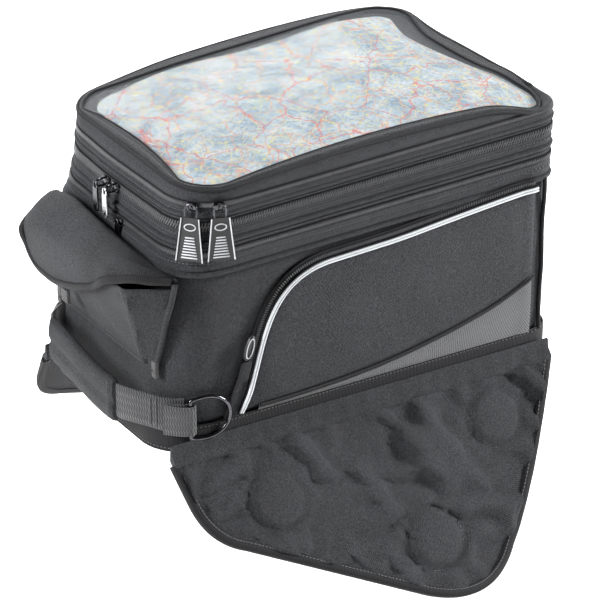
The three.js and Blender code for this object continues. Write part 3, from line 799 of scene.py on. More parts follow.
def base_edge():
    profile = ([(0.5, 1.2), (1.6, 1.0)] + [(2.2, 2.2), (1.9, 3.4), (1.1, 4.0), (1.9, 4.8)]
               + [(2.0, z) for z in (9, 14, 19)] + [(1.9, 22.6), (1.0, 23.4), (1.8, 24.2)]
               + [(1.9, 25.2), (1.2, 26), (0.5, 25.6), (0.4, 14)])
    band("base_edge_tape", lower, profile, TAPE, "bag", ["base_band"], 0.2)
    for k, z in enumerate((3.9, 23.4)):
        stitches(f"base_edge_stitching_{k + 1}", lower, 1.5, z, "bag")


def lower_band():
    profile = (welt(164.2, 168.6, 2.0) + seam(169.3) + [(0.2, 171.5), (0.3, 174.5)]
               + seam(176.4) + [(-0.1, 178), (-0.3, 180.8), (-1.5, 181), (-8, 181), (-8.2, 172),
                                (-8, 164.2), (-2, 164)])
    band("lower_band_cloth", stack, profile, CORDURA, "bag", ["lower_band"])
    stitches("lower_band_stitching", stack, -0.45, 176.4, "bag")


def upper_band():
    profile = ([(-0.6, 187.6), (-0.4, 190.2)] + seam(190.9) + welt(191.6, 195.8, 1.9)
               + seam(196.5, 1.2) + [(0.2, 198.6), (0.2, 200.2)] + seam(201.2, 0.8)
               + [(-0.5, 202), (-0.6, 204.8), (-2, 205), (-4, 204.8), (-4.2, 196), (-4, 187.8)])
    band("upper_band_cloth", stack, profile, CORDURA, "upper_section", ["upper_band"])
    stitches("upper_band_stitching", stack, -0.4, 201.2, "upper_section")


def lid_band():
    profile = ([(-0.6, 213.6), (-0.5, 215.4)] + seam(216) + welt(216.6, 220.8, 1.9)
               + seam(221.4, 1.2) + [(-0.1, 222.4), (-0.6, 224.8), (-2, 225), (-4, 224.8),
                                     (-4.2, 219), (-4, 213.8)])
    band("lid_band_cloth", stack, profile, CORDURA, "lid", ["lid_tray"])
    stitches("lid_band_stitching", stack, -0.4, 221.4, "lid")


def front_seams():
    """Bound seams where the side panels meet the front panel."""
    z = np.linspace(24, 166, 40)
    for name, side in SIDES:
        path = lower(np.full_like(z, nearest_s(169, side * 115)), 0.9 + 0.5 * np.sin(z / 11), z)
        dress(tube(f"front_corner_binding_{name}", path, 1.9, 10), TAPE, "bag")


def gusset():
    """The folded cloth that lets the upper bag rise."""
    z = np.linspace(171, 197, 25)
    fold = -8.4 - 1.0 * (1 - np.cos((z - 171) / 26 * 6 * math.pi)) / 2
    outer = list(zip(fold, z))
    inner = [(g - 0.9, h) for g, h in reversed(outer)]
    piece = band("expansion_gusset_cloth", stack, outer + inner, LINING, None,
                 ["expansion_gusset"], 0.1)
    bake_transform(piece)


# ---- Zips --------------------------------------------------------------------------------
def zip_half(name, body, seam_z, side, tall, pitch, closed):
    """One tape with its coil: side is -1 below the seam and +1 above it."""
    start, end = (0.0, ROUND) if closed else (HINGE_HALF, ROUND - HINGE_HALF)
    s = np.linspace(start, end, 180 if closed else 170)
    if closed:
        s = s[:-1]
    low, high = sorted((seam_z + side * 0.25, seam_z + side * tall))
    profile = [(-1.5, low), (-0.7, low), (-0.5, (low + high) / 2), (-0.7, high), (-1.5, high)]
    tape = cloth_grid(name + "_tape", stack(s[:, None], *(np.array(profile).T[:, None])),
                      rings=True, loops=closed, caps=not closed, angle=60)
    dress(tape, TAPE, body)
    offset = 0.75 if side > 0 else 0.25      # the two rows of teeth interlock
    at = start + (np.arange(int((end - start) / pitch)) + offset) * pitch
    at = at[at < end - pitch]
    frames = frames_on(lambda a, b: stack(a, 0.05, b), at,
                       np.full_like(at, seam_z + side * (tall * 0.5 - 0.5)))
    tooth = block("tooth", (pitch * 0.56, 1.5, tall + 0.4), bevel=pitch * 0.16, segments=1)
    placed(tooth, lambda p: p + xyz(p[:, 2] * 0.22, 0, 0))
    dress(scatter(name + "_coil", tooth, *frames, 35), COIL, body, [name + "_teeth"])


def zips():
    for name, seam_z, bodies, heights, pitch, closed in (
            ("expansion_zip", LOW_SEAM, ("bag", "upper_section"), (2.7, 2.7), 2.0, True),
            ("main_zip", MAIN_SEAM, ("upper_section", "lid"), (3.7, 3.8), 2.5, False),
            ("map_zip", MAP_SEAM, ("lid", "map_cover"), (2.4, 2.6), 1.9, False)):
        for half, side, body, tall in zip(("lower", "upper"), (-1, 1), bodies, heights):
            zip_half(f"{name}_{half}", body, seam_z, side, tall, pitch, closed)


def hinge_cloth():
    """Plain cloth in place of the zips across the front, where the lids turn."""
    for name, bodies, low, high, under in (
            ("lid_hinge_cloth", ("upper_section", "lid"), 204.0, 214.4, "upper_band_cloth"),
            ("cover_hinge_cloth", ("lid", "map_cover"), 222.6, 233.0, "lid_band_cloth")):
        s = np.linspace(-HINGE_HALF + 1, HINGE_HALF - 1, 30)
        z = np.linspace(low, high, 15)
        bow = 0.9 * np.sin(math.pi * (z - low) / (high - low))
        points = stack(s[:, None], bow[None] - 0.9 + 0.15 * np.sin(s / 5)[:, None], z[None])
        piece = sheet_grid(name, points, 1.2)
        dress(piece, CORDURA)
        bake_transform(piece)


# ---- Lid, map and window cover -----------------------------------------------------------
def dome_z(x, y, drop=0.0):
    """Height of the cover's domed top, dropped by that much, with its rolled front edge."""
    reach = np.sqrt(np.maximum(0.0, 1 - (x / DOME[0]) ** 2 - (y / DOME[1]) ** 2))
    top = (CREST - DOME[2] - drop + DOME[2] * reach) * (1 + TILT * x)
    droop = 2 + (FRONT_DROOP - 2) * rampup(118, 40, y) - 3 * np.exp(-((y + 58) / 22) ** 2)
    return top - droop * rampup(112, 188, x) + 2 * rampup(50, 112, y) * rampup(-110, -40, x)


def on_cover(s, inset, drop=0.0):
    """A point that far in from the cover's edge, on its surface."""
    x, y = plan(s, 0)
    nx, ny = plan(s, 1)
    flat = settle(lean(x - (nx - x) * inset, y - (ny - y) * inset, 240.0, stack_walls))
    flat[..., 2] = dome_z(flat[..., 0], flat[..., 1], drop)
    return flat


def side_share(s):
    """Where s lies on its straight side: 0 at both ends, 1 in the middle, and which side."""
    x, y = plan(s)
    on_front = rampup(FRONT_X - 3, FRONT_X, x)
    on_rear = rampup(REAR_X + 3, REAR_X, x)
    middle_x = np.clip(1 - ((x - 6) / 150) ** 2, 0, 1)
    middle_y = np.clip(1 - (y / 86) ** 2, 0, 1)
    return on_front * middle_y, on_rear * middle_y, (1 - on_front - on_rear) * middle_x, y


def window_inset(s):
    """How wide the cloth border round the window is."""
    front, rear, side, y = side_share(s)
    far = rampup(-60, 60, y)
    return 4.5 + 15 * front + 9 * rear + side * (5 + 9 * far)


def sheet_inset(s):
    """How far in from the cover's edge the map ends."""
    front, rear, side, y = side_share(s)
    far = rampup(-60, 60, y)
    x, _ = plan(s)
    wavy = 4 * np.sin(x / 26 + 1.0) + 6 * rampup(-150, 120, x)
    return 5.5 + 16 * front + 9.5 * rear + side * 5 + far * (10 + wavy) * (1 - rear)


def polar(edge, shares):
    """Rings from the middle of the cover out to an edge, in plan."""
    middle = np.array([6.0, 0.0])
    return middle + (edge[None, :, :2] - middle) * shares[:, None, None]


def on_dome(flat, drop, wave, seed, length=60):
    x, y = flat[..., 0], flat[..., 1]
    points = xyz(x, y, dome_z(x, y, drop))
    points[..., 2] += wave * ripple(points, length, seed)
    return points


def lid_panel():
    flat = polar(on_cover(AROUND, 6.0), np.array([0.004, 0.25, 0.5, 0.7, 0.85, 0.94, 0.985, 1]))
    top, under = on_dome(flat, 5.2, 0.25, 5), on_dome(flat, 8.2, 0.25, 5)
    rings = np.concatenate([top, under[::-1]])
    piece = cloth_grid("lid_panel_cloth", rings, rings=True, caps=True, angle=60)
    dress(piece, LINING, "lid")


def domed_sheet(name, inset, count, surface, thickness, finish, body, node):
    """A thin sheet with the cover's dome, from its middle out to its own edge."""
    rings = polar(on_cover(AROUND, inset), np.linspace(0, 1, count))
    piece = cloth_grid(name, on_dome(rings, *surface), rings=True, angle=60)
    dress(smooth(thicken(piece, thickness), 60), finish, body, [node])


def cover_border():
    """The black cloth round the window: a low wall, a corded rim and the sloping border."""
    s = np.linspace(0, ROUND, 241)[:-1]
    inset = window_inset(s)
    rows = []
    wall = [(-0.7, 230.6), (-0.3, 232.0), (0.5, 233.2), (0.9, 234.6), (0.6, 236.0)]
    rim_z = on_cover(s, 0.0)[:, 2] / (1 + TILT * on_cover(s, 0.0)[:, 0])
    for grow, z in wall:
        height = z + (rim_z - 240) * (z - 230.6) / 9
        rows.append(stack(s, grow, height))
    for share, lift in ((0.10, -1.1), (0.18, 0.1), (0.34, 0.5), (0.5, 0.15), (0.56, -0.35),
                        (0.62, 0.1), (0.85, 0.3), (1.0, -0.3)):
        point = on_cover(s, 0.6 + (inset - 0.6) * share)
        point[:, 2] += lift + 0.18 * np.sin(s / 4.1 + 6 * share)
        rows.append(point)
    rows.append(on_cover(s, inset, 1.6))
    rows.append(on_cover(s, inset * 0.5 + 1.5, 2.4))
    rows.append(on_cover(s, 3.2, 3.0))
    rows.append(stack(s, -2.6, 233.0 + (rim_z - 240) * 0.2))
    rows.append(stack(s, -2.4, np.full_like(s, 230.7)))
    piece = cloth_grid("cover_border_cloth", np.stack(rows, 1), rings=True, loops=True,
                       angle=50)
    dress(piece, CORDURA, "map_cover", ["cover_frame"])
    cord = tube("cover_rim_cord", on_cover(s[::2], -0.2) - [0, 0, 1.6], 1.5, 8, closed=True)
    dress(cord, TAPE, "map_cover")

    def surface(a, b):
        return on_cover(a, 0.6 + (window_inset(a) - 0.6) * 0.56 - (b - 240.0)) + [0, 0, -0.1]
    at = np.linspace(0, ROUND, 330)[:-1]
    sew("cover_border_stitching", *frames_on(surface, at, np.full_like(at, 240.0)),
        "map_cover")
    edge = on_cover(s, inset + 0.2) - [0, 0, 0.2]
    dress(tube("window_edge_binding", edge, 1.0, 8, closed=True), TAPE, "map_cover")


# ---- Rear pocket -------------------------------------------------------------------------
POCKET_LOW, POCKET_TOP = 73.0, 152.0


def rear_wall_x(z):
    return lower_walls(z)[0]


def up_pocket(z):
    """0 at the rear pocket's foot and 1 at its top."""
    return (z - POCKET_LOW) / (POCKET_TOP - POCKET_LOW)


def pocket_ring(z, inset, count=72):
    """The pocket's outline at one height: open to the wall, rounded at its two front edges."""
    t = up_pocket(z)
    wall = rear_wall_x(z) - 1.2
    front = -186.5 - 23 * t + inset
    wall_half, front_half = 76 + 20 * t - inset, 67 + 9 * t - inset
    belly = 2.2 * math.sin(math.pi * np.clip(t, 0, 1))
    half = [(wall, 0), (wall, wall_half * 0.6), (wall, wall_half - 1), (wall - 1.2, wall_half),
            (wall * 0.6 + front * 0.4, wall_half * 0.6 + front_half * 0.4 - 1.8 * t),
            (front + 3, front_half + 0.4), (front + 0.8, front_half - 0.6),
            (front, front_half - 3), (front - belly, front_half * 0.5),
            (front - belly * 1.3, 0)]
    other = [(x, -y) for x, y in reversed(half[1:-1])]
    path = smooth_path(np.array(half + other + half[:1]), count + 1)[:-1]
    return np.concatenate([path, np.full((count, 1), float(z))], 1)


def rear_pocket():
    rows = [pocket_ring(z, inset) for z, inset in ((74, 6), (73, 2), (74.5, 0.3))]
    rows += [pocket_ring(z, 0) for z in np.linspace(78, 150, 18)]
    rows += [pocket_ring(152, 0.8), pocket_ring(151.5, 2.0)]
    rows += [pocket_ring(z, 2.6) for z in (140, 110, 88)] + [pocket_ring(78, 4)]
    points = np.array(rows)
    front = rampup(-186, -193, points[..., 0]) * rampup(74, 88, points[..., 2])
    points[..., 0] += (1.1 * ripple(points, 46, 21) + 0.5 * ripple(points, 17, 22)) * front
    gusset = rampup(68, 74, np.abs(points[..., 1])) * rampup(74, 88, points[..., 2])
    points[..., 1] += 0.8 * ripple(points, 30, 23) * gusset
    piece = cloth_grid("rear_pocket_cloth", points, rings=True, caps=True, angle=50)
    dress(piece, LIT_CORDURA, "bag", ["rear_pocket_body"])
    for name, side in SIDES:
        z = np.linspace(72, 158, 34)
        half = 77 + 20 * up_pocket(z)
        path = xyz(rear_wall_x(z) - 1.9, side * (half + 0.5 * np.sin(z / 7)), z)
        dress(tube(f"rear_pocket_piping_{name}", path, 2.5, 12), CORDURA, "bag")
        end = block(f"rear_pocket_piping_end_{name}", (4.2, 6.5, 15), bevel=1.2, segments=2)
        placed(smooth(end), lambda p: p + [rear_wall_x(78) - 2.6, side * 78.0, 74.0])
        dress(end, WEBBING, "bag")
        z = np.linspace(80, 148, 20)
        at = up_pocket(z)
        sew(f"rear_pocket_edge_stitching_{name}",
            xyz(-186.9 - 23 * at, side * (62 + 9 * at), z), (1, 0, 0), (0, 1, 0), (0, 0, 1),
            "bag", (0.5, 0.5, 2.3), 0.15)
    sew("rear_pocket_stitching", xyz(-189.3, np.linspace(-64, 64, 40), 78.0), (0, 1, 0),
        (-1, 0, 0), (0, 0, 1), "bag", (2.3, 0.6, 0.7), 0.18)
    tab = block("rear_pocket_tab", (3.5, 10, 12), (-207.5, 24, 104), 0.9)
    dress(smooth(tab), WEBBING, "rear_flap")


FLAP_HALF = 95.5
# Across the flap from its right end to its left: crest height, shoulder (x, z) and the free
# edge (x, y, z).
FLAP_ACROSS = (-1, -0.92, -0.75, -0.6, -0.4, -0.1, 0.2, 0.45, 0.7, 0.86, 0.95, 1)
CREST_Z = (160, 163.5, 167, 168.5, 170, 173, 176, 178, 174, 168, 163, 159)
SHOULDER = ((-176, 160), (-184, 165), (-195, 168.5), (-202, 168), (-206, 164), (-208, 160),
            (-209, 157), (-210, 155), (-209, 152), (-206, 151), (-198, 152), (-180, 159))
FREE_EDGE = ((-177, -95, 160), (-190, -90, 162), (-203, -80, 163), (-211, -62, 156),
             (-212.5, -38, 141), (-211.5, -6, 125), (-209.5, 27, 113), (-208, 52, 109.5),
             (-207, 74, 111), (-208, 86, 124), (-208, 93, 140), (-182, 95.5, 158))


def flap_shape(u, v):
    """u runs over the flap from its seam to its free edge, v across it from -1 to 1."""
    u, v = np.broadcast_arrays(np.asarray(u, float), np.asarray(v, float))
    table = np.array([(c, *s, *f) for c, s, f in zip(CREST_Z, SHOULDER, FREE_EDGE)])
    fine = smooth_path(np.concatenate([np.array(FLAP_ACROSS)[:, None] * 100, table], 1), 200)
    crest, sx, sz, ex, ey, ez = (np.interp(v, fine[:, 0] / 100, fine[:, k])
                                 for k in range(1, 7))
    y = FLAP_HALF * v
    lobe = rampup(1.0, 0.8, np.abs(v))
    rows = [(-173 + 0 * v, y, 157.5 + 0 * v), (-174 - 6 * lobe, y, (crest + 158) / 2 + 1),
            (-176 - 14 * lobe, y, crest), (sx, y * 0.55 + ey * 0.45, sz), (ex, ey, ez)]
    knots = np.array([0, 0.14, 0.32, 0.62, 1.0])
    p = np.stack([np.stack(row, -1) for row in rows])
    p = np.concatenate([p[:1] * 2 - p[1:2], p, p[-1:] * 2 - p[-2:-1]])
    k = np.clip(np.searchsorted(knots, u, side="right") - 1, 0, 3)
    t = ((u - knots[k]) / (knots[k + 1] - knots[k]))[..., None]

    def pick(i):
        return np.take_along_axis(p, (k + i)[None, ..., None], 0)[0]
    a, b, c, d = pick(0), pick(1), pick(2), pick(3)
    return 0.5 * (2 * b + (c - a) * t + (2 * a - 5 * b + 4 * c - d) * t ** 2
                  + (3 * b - a - 3 * c + d) * t ** 3)


def rear_flap():
    u, v = np.meshgrid(np.linspace(0, 1, 50), np.linspace(-1, 1, 75), indexing="ij")
    points = flap_shape(u, v)
    loose = rampup(0, 0.25, u) * rampup(1.0, 0.85, np.abs(v))
    points[..., 2] += (0.7 * ripple(points, 34, 31) + 0.3 * ripple(points, 14, 33)) * loose
    fold = np.exp(-((v + 0.52) / 0.10) ** 2) - 0.6 * np.exp(-((v + 0.34) / 0.09) ** 2)
    points[..., 0] -= 2.2 * fold * rampup(0.45, 1.0, u)
    points[..., 2] += 1.6 * fold * rampup(0.45, 1.0, u)
    piece = sheet_grid("rear_flap_cloth", points, 2.2, angle=60)
    dress(piece, LIT_CORDURA, None, ["rear_pocket_hood", "rear_pocket_flap"])
    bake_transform(piece)
    path = smooth_path(points[-1] * 0.75 + points[-4] * 0.25, 130)
    binding = tube("rear_flap_binding", path - [0.6, 0, 0], 3.9, 12, flatten=0.72)
    dress(binding, TAPE)
    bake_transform(binding)
    v = np.linspace(-0.93, 0.93, 92)
    ends, sides = (0.58, 0.80), (0.14, 0.46)     # the stitched rectangle
    box = [(a, b, 0) for a in np.linspace(*ends, 13) for b in sides]
    box += [(a, b, 1) for b in np.linspace(*sides, 10) for a in ends]
    rows = np.array([(0.86, b, 1) for b in v] + box)
    here = flap_shape(rows[:, 0], rows[:, 1])
    du = unit(flap_shape(rows[:, 0] + 0.01, rows[:, 1]) - here)
    dv = unit(flap_shape(rows[:, 0], rows[:, 1] + 0.01) - here)
    out = unit(np.cross(du, dv))
    out *= np.sign(out @ np.array([-0.7, 0, 0.7]))[:, None]
    way = np.where(rows[:, 2:3] > 0.5, dv, du)
    sewn = sew("rear_flap_stitching", here + 0.2 * out, way, out, np.cross(way, out), None,
               (2.5, 0.6, 0.8), 0.18)
    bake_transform(sewn)


# ---- Side pockets ------------------------------------------------------------------------
def on_side(x, z, depth, side):
    """A place on the side wall; the pocket runs up to the front corner's seam."""
    x, z, depth = np.broadcast_arrays(*(np.asarray(v, float) for v in (x, z, depth)))
    reach = rampup(50, 148, x)
    z = z + 6.5 * rampup(10, 148, x) * rampup(70, 150, z)
    x = x + 16 * reach + 3 * rampup(60, -10, x) * rampup(20, 50, z)
    depth = depth - np.maximum(0, x - 152) ** 2 / 68 + 3.0 * rampup(150, 166, x)
    points = lean(x, -(neutral_half(np.asarray(x, float)) + depth), z, lower_walls)
    return points * [1, -side, 1] if side > 0 else points


def on_wall(flat, depth, side):
    """As on_side, for rows of (x, z)."""
    return on_side(flat[..., 0], flat[..., 1], depth, side)


def bezier(points, t):
    a, b, c, d = (np.array(p, float) for p in points)
    t = t[:, None]
    return (1 - t) ** 3 * a + 3 * (1 - t) ** 2 * t * b + 3 * (1 - t) * t ** 2 * c + t ** 3 * d


def pocket_edge():
    """The pocket's zipped edge as (x, z), up its rear corner and forwards, and its length."""
    curve = bezier([(-117, 30), (-100, 78), (-112, 150), (-38, 150)], np.linspace(0, 1, 60))
    line = np.stack([np.linspace(-38, 148, 40), np.linspace(150, 156, 40)], 1)[1:]
    path = np.concatenate([curve, line])
    run = np.concatenate([[0], np.cumsum(np.linalg.norm(np.diff(path, axis=0), axis=1))])
    return path, run


EDGE_PATH, EDGE_RUN = pocket_edge()


def edge_at(run, offset=0.0):
    """A point along the pocket's edge; a positive offset is outside the pocket."""
    def point(r):
        return np.stack([np.interp(r, EDGE_RUN, EDGE_PATH[:, k]) for k in (0, 1)], -1)
    run = np.clip(run, 0, EDGE_RUN[-1])
    way = unit(point(np.minimum(run + 4, EDGE_RUN[-1])) - point(np.maximum(run - 4, 0)))
    normal = np.stack([-way[..., 1], way[..., 0]], -1)
    return point(run) + normal * np.asarray(offset)[..., None]


def mesh_top(t):
    """The curved upper edge of the net panel, as (x, z)."""
    a, b, c = np.array([-98.0, 31]), np.array([78.0, 30]), np.array([148.0, 80])
    t = np.asarray(t)[..., None]
    return (1 - t) ** 2 * a + 2 * (1 - t) * t * b + t ** 2 * c


def side_pocket(name, side):
    u = np.linspace(0, 1, 72)
    top = edge_at(u ** 0.9 * EDGE_RUN[-1], -1.9)
    low = mesh_top(u ** 1.15) + [0, 0.6]
    v = np.linspace(0, 1, 26)
    flat = top[:, None] + (low - top)[:, None] * v[None, :, None]
    puff = (np.clip(4 * v * (1 - v), 0, 1) ** 0.45)[None] * (
        np.clip(u * 9, 0, 1) * np.clip((1 - u) * 12, 0, 1))[:, None] ** 0.5
    xz = np.concatenate([flat, np.zeros((*flat.shape[:2], 1))], -1)
    depth = 2.2 + (3.9 + 0.45 * ripple(xz, 60, 41) + 0.25 * ripple(xz, 22, 42)) * puff
    front, back = on_wall(flat, depth, side), on_wall(flat[:, ::-1], 0.5, side)
    piece = cloth_grid(f"side_pocket_panel_{name}", np.concatenate([front, back], 1),
                       rings=True, caps=True, angle=50)
    dress(piece, CORDURA, "bag", [f"side_pocket_{name}"])

    run = np.linspace(0, EDGE_RUN[-1], 120)
    for label, offset in (("outer", 0.9), ("inner", -1.5)):
        path = on_wall(edge_at(run, offset), 6.3, side)
        node = [f"pocket_piping_{name}"] if label == "outer" else []
        dress(tube(f"pocket_piping_{label}_{name}", path, 0.95, 8), SILVER, "bag", node)
    for label, across in (
            ("piping_bed", [(2.6, 0.5), (2.3, 5.2), (0.9, 6.0), (-0.3, 5.4), (-1.5, 6.0),
                            (-2.6, 5.2), (-2.9, 0.5)]),
            ("zip_tape", [(2.9, 0.5), (2.9, 2.2), (5.4, 2.7), (8.4, 2.0), (8.8, 0.5)])):
        across = np.array(across)
        tape = on_wall(edge_at(run[:, None], across[None, :, 0]), across[None, :, 1], side)
        dress(cloth_grid(f"pocket_{label}_{name}", tape, rings=True, caps=True), TAPE, "bag")
    at = np.arange(2, EDGE_RUN[-1] - 2, 1.9)
    here = on_wall(edge_at(at, 4.7), 3.1, side)
    along = unit(on_wall(edge_at(at + 0.5, 4.7), 3.1, side) - here)
    across = unit(on_wall(edge_at(at, 5.2), 3.1, side) - here)
    out = unit(on_wall(edge_at(at, 4.7), 4.1, side) - here)
    tooth = block("tooth", (1.1, 3.6, 1.3), bevel=0.3, segments=1)
    coil = scatter(f"pocket_zip_coil_{name}", tooth, here, along, across, out, 35)
    dress(coil, COIL, "bag", [f"pocket_zip_{name}"])

    grid_u = np.linspace(0, 1, 60)
    high = mesh_top(grid_u) + [0, -0.2]
    low = xyz(np.linspace(-98, 148, 60), 25.5)
    w = np.linspace(0, 1, 12)
    flat = low[:, None] + (high - low)[:, None] * w[None, :, None]
    bulge = 2.0 + 2.6 * np.sin(math.pi * w)[None] ** 0.7 * np.sin(
        math.pi * np.clip(grid_u, 0.02, 0.98))[:, None] ** 0.4
    net_piece = cloth_grid(f"net_panel_{name}", on_wall(flat, bulge, side), angle=60)
    if side > 0:
        edit(net_piece)
        bpy.ops.mesh.flip_normals()
        deselect()
    dress(smooth(thicken(net_piece, 0.9), 60), NET, "bag", [f"mesh_panel_{name}"])
    binding = tube(f"net_binding_{name}", on_wall(mesh_top(np.linspace(0, 1, 70)), 4.6, side),
                   1.7, 8, flatten=0.6)
    dress(binding, TAPE, "bag")

    garage = block(f"zip_garage_cloth_{name}", (9, 17, 3.4), bevel=1.3, segments=3)
    placed(smooth(garage), lambda p: on_side(p[:, 0] - 118.5 + 0.2 * p[:, 1], p[:, 1] + 68,
                                             p[:, 2] + 6.3 - 0.02 * p[:, 0] ** 2, side))
    dress(garage, CORDURA, "bag", [f"zip_garage_{name}"])
    tail = block(f"zip_tail_cloth_{name}", (11, 34, 2.2), bevel=0.9, segments=2)
    placed(smooth(tail), lambda p: on_side(p[:, 0] - 121.5 + 0.2 * p[:, 1], p[:, 1] + 43,
                                           p[:, 2] + 3.2, side))
    dress(tail, CORDURA, "bag")
    pocket_puller(name, side)


def pocket_puller(name, side):
    """A moulded loop on the pocket's slider: an oval rim round a sunk middle."""
    centre_x, centre_z, lean_in = -115.8, 89.5, 0.17
    turn = np.linspace(0, 2 * math.pi, 40, endpoint=False)
    oval = np.stack([4.2 * np.cos(turn), 11 * np.sin(turn)], 1)
    levels = [(0.90, 4.6), (1.0, 5.2), (1.0, 6.9), (0.86, 7.8), (0.72, 7.4), (0.62, 6.7),
              (0.3, 6.7)]
    rings = []
    for share, depth in levels:
        ring = oval * [share if share > 0.65 else share * 0.9, share]
        x = centre_x + ring[:, 0] + lean_in * ring[:, 1]
        rings.append(on_side(x, centre_z + ring[:, 1], depth, side))
    piece = cloth_grid(f"pocket_puller_{name}", rings, rings=True, caps=True, angle=40)
    body = f"pocket_slider_{name}"
    dress(piece, RUBBER, body, [body])
    ring = xyz(2.9 * np.cos(turn) + centre_x + lean_in * 8.6 * np.sin(turn),
               centre_z + 8.6 * np.sin(turn))
    rim = tube(f"pocket_puller_rim_{name}", on_wall(ring, 7.7, side), 0.45, 6, closed=True)
    dress(rim, PALE_RUBBER, body)


# ---- Magnet flaps ------------------------------------------------------------------------
FLAP_ANGLE = math.radians(35)        # outwards from straight down
SEAM_START = (-188.0, 105.5)         # rear end of the flap's seam, and its run to the front
SEAM_RUN = (374.0, 21.0)
STITCH_RING = 26.5                   # radius of the seam round each magnet
MAGNETS = ((82, 53), (300, 39), (213, 124))


def flap_place(points, side):
    """From the flap's own plane (along, down, proud) to the bag."""
    hinge = unit(np.array([SEAM_RUN[0], side * SEAM_RUN[1], 0]))
    out = np.array([-hinge[1], hinge[0], 0]) * side
    down = out * math.sin(FLAP_ANGLE) + np.array([0, 0, -math.cos(FLAP_ANGLE)])
    normal = out * math.cos(FLAP_ANGLE) + np.array([0, 0, math.sin(FLAP_ANGLE)])
    start = np.array([SEAM_START[0], side * SEAM_START[1], 0])
    return (start + points[..., 0:1] * hinge + points[..., 1:2] * down
            + points[..., 2:3] * normal)


def quad(a, b, c, count):
    t = np.linspace(0, 1, count)[:, None]
    return (1 - t) ** 2 * np.array(a) + 2 * (1 - t) * t * np.array(b) + t ** 2 * np.array(c)


def flap_rim():
    """The flap's three hanging edges, from rear to front."""
    rim = np.concatenate([
        np.array([(0.0, 3.0), (3, 20)]), quad((6.0, 36), (12, 72), (44, 86), 14),
        np.linspace((44.0, 86), (190, 166), 20)[1:],
        quad((190.0, 166), (250, 196), (284, 148), 18)[1:],
        quad((284.0, 148), (322, 105), (374, 3), 18)[1:]])
    return smooth_path(rim, 150)


RIM = flap_rim()
RIM_WAY = unit(np.gradient(RIM, axis=0))
RIM_INWARD = np.stack([RIM_WAY[:, 1], -RIM_WAY[:, 0]], 1)


def rim_depth(x, inset=0.0):
    path = RIM
    if inset:
        path = RIM + RIM_INWARD * inset
        path = path[np.argsort(path[:, 0])]
    return np.interp(x, path[:, 0], path[:, 1])


def slack(x, y):
    """The flap's loose folds: gathers under its seam and soft dents between its magnets."""
    points = xyz(x, y, 0)
    free = np.ones_like(x)
    for mx, my in MAGNETS:
        free = free * rampup(24, 46, np.hypot(x - mx, y - my))
    gathers = np.sin(x / 7.5 + 2.2 * ripple(points, 90, 53)) * rampup(34, 8, y)
    dents = ripple(points * [1, 0.8, 1], 62, 54) + 0.45 * ripple(points, 27, 55)
    edge = rampup(2, 16, y) * rampup(0, 14, rim_depth(x) - y)
    return (2.4 * gathers + 9.0 * dents) * free * edge


def bulges(x, y):
    """The flap's height over its magnets, with the sunk seam round each."""
    lift = 0 * x
    for mx, my in MAGNETS:
        r = np.hypot(x - mx, y - my)
        lift = np.maximum(lift, (4.6 + 2.2 * rampup(23, 0, r)) * rampup(26, 19, r))
        lift = lift - 1.6 * np.exp(-((r - 27.5) / 2.6) ** 2)
    return lift


def flap_cloth_form():
    """Rows of (along, down) over the flap inside its binding."""
    u = (1 - np.cos(np.linspace(0.0, math.pi, 104))) / 2
    x = 5 + u * 362
    low = np.maximum(rim_depth(x, 5.0), 7)
    v = np.linspace(0, 1, 46)
    y = 3 + (low - 3)[:, None] * v[None]
    x = np.broadcast_to(x[:, None], y.shape)
    return x, y


def crumple(points, held):
    """Cloth with slack in it, sewn down where held is 1: the slack becomes soft folds."""
    piece = cloth_grid("crumpled", points, angle=60)
    group = piece.vertex_groups.new(name="sewn")
    where = corners(piece)
    target = (np.asarray(points) * MM).reshape(-1, 3)
    order = np.lexsort((np.round(where[:, 1], 7), np.round(where[:, 0], 7)))
    want = np.lexsort((np.round(target[:, 1], 7), np.round(target[:, 0], 7)))
    back = np.empty(len(where), int)
    back[want] = order
    for vertex, share in zip(back, held.ravel()):
        if share > 0.02:
            group.add([int(vertex)], float(share), "REPLACE")
    activate(piece)
    cloth = piece.modifiers.new("Cloth", "CLOTH")
    settings = cloth.settings
    settings.quality = 6
    settings.mass = 0.12
    settings.tension_stiffness = settings.compression_stiffness = 18
    settings.shear_stiffness = 6
    settings.bending_stiffness = 0.35
    settings.shrink_min = -0.05
    settings.vertex_group_mass = "sewn"
    settings.pin_stiffness = 1.0
    settings.use_pressure = True
    settings.uniform_pressure_force = 0.35
    settings.effector_weights.gravity = 0
    cloth.collision_settings.use_collision = False
    for step in range(1, 25):
        bpy.context.scene.frame_set(step)
    bpy.ops.object.modifier_apply(modifier="Cloth")
    made = corners(piece)[back].reshape(np.shape(points)) / MM
    bpy.context.scene.frame_set(1)
    bpy.data.objects.remove(piece)
    return made


def flap_heights():
    """The flap's cover cloth as points in its own plane."""
    x, y = flap_cloth_form()
    points = xyz(x, y, 2.0 + bulges(x, y) + slack(x, y))
    held = np.zeros_like(x)
    held[:, 0] = held[:, -1] = held[0] = held[-1] = 1
    for mx, my in MAGNETS:
        held = np.maximum(held, rampup(28, 24, np.hypot(x - mx, y - my)))
    made = crumple(points, held)
    move = made - points
    size = np.linalg.norm(move, axis=-1, keepdims=True)
    return points + move * np.minimum(1, 5.0 / np.maximum(size, 1e-6))


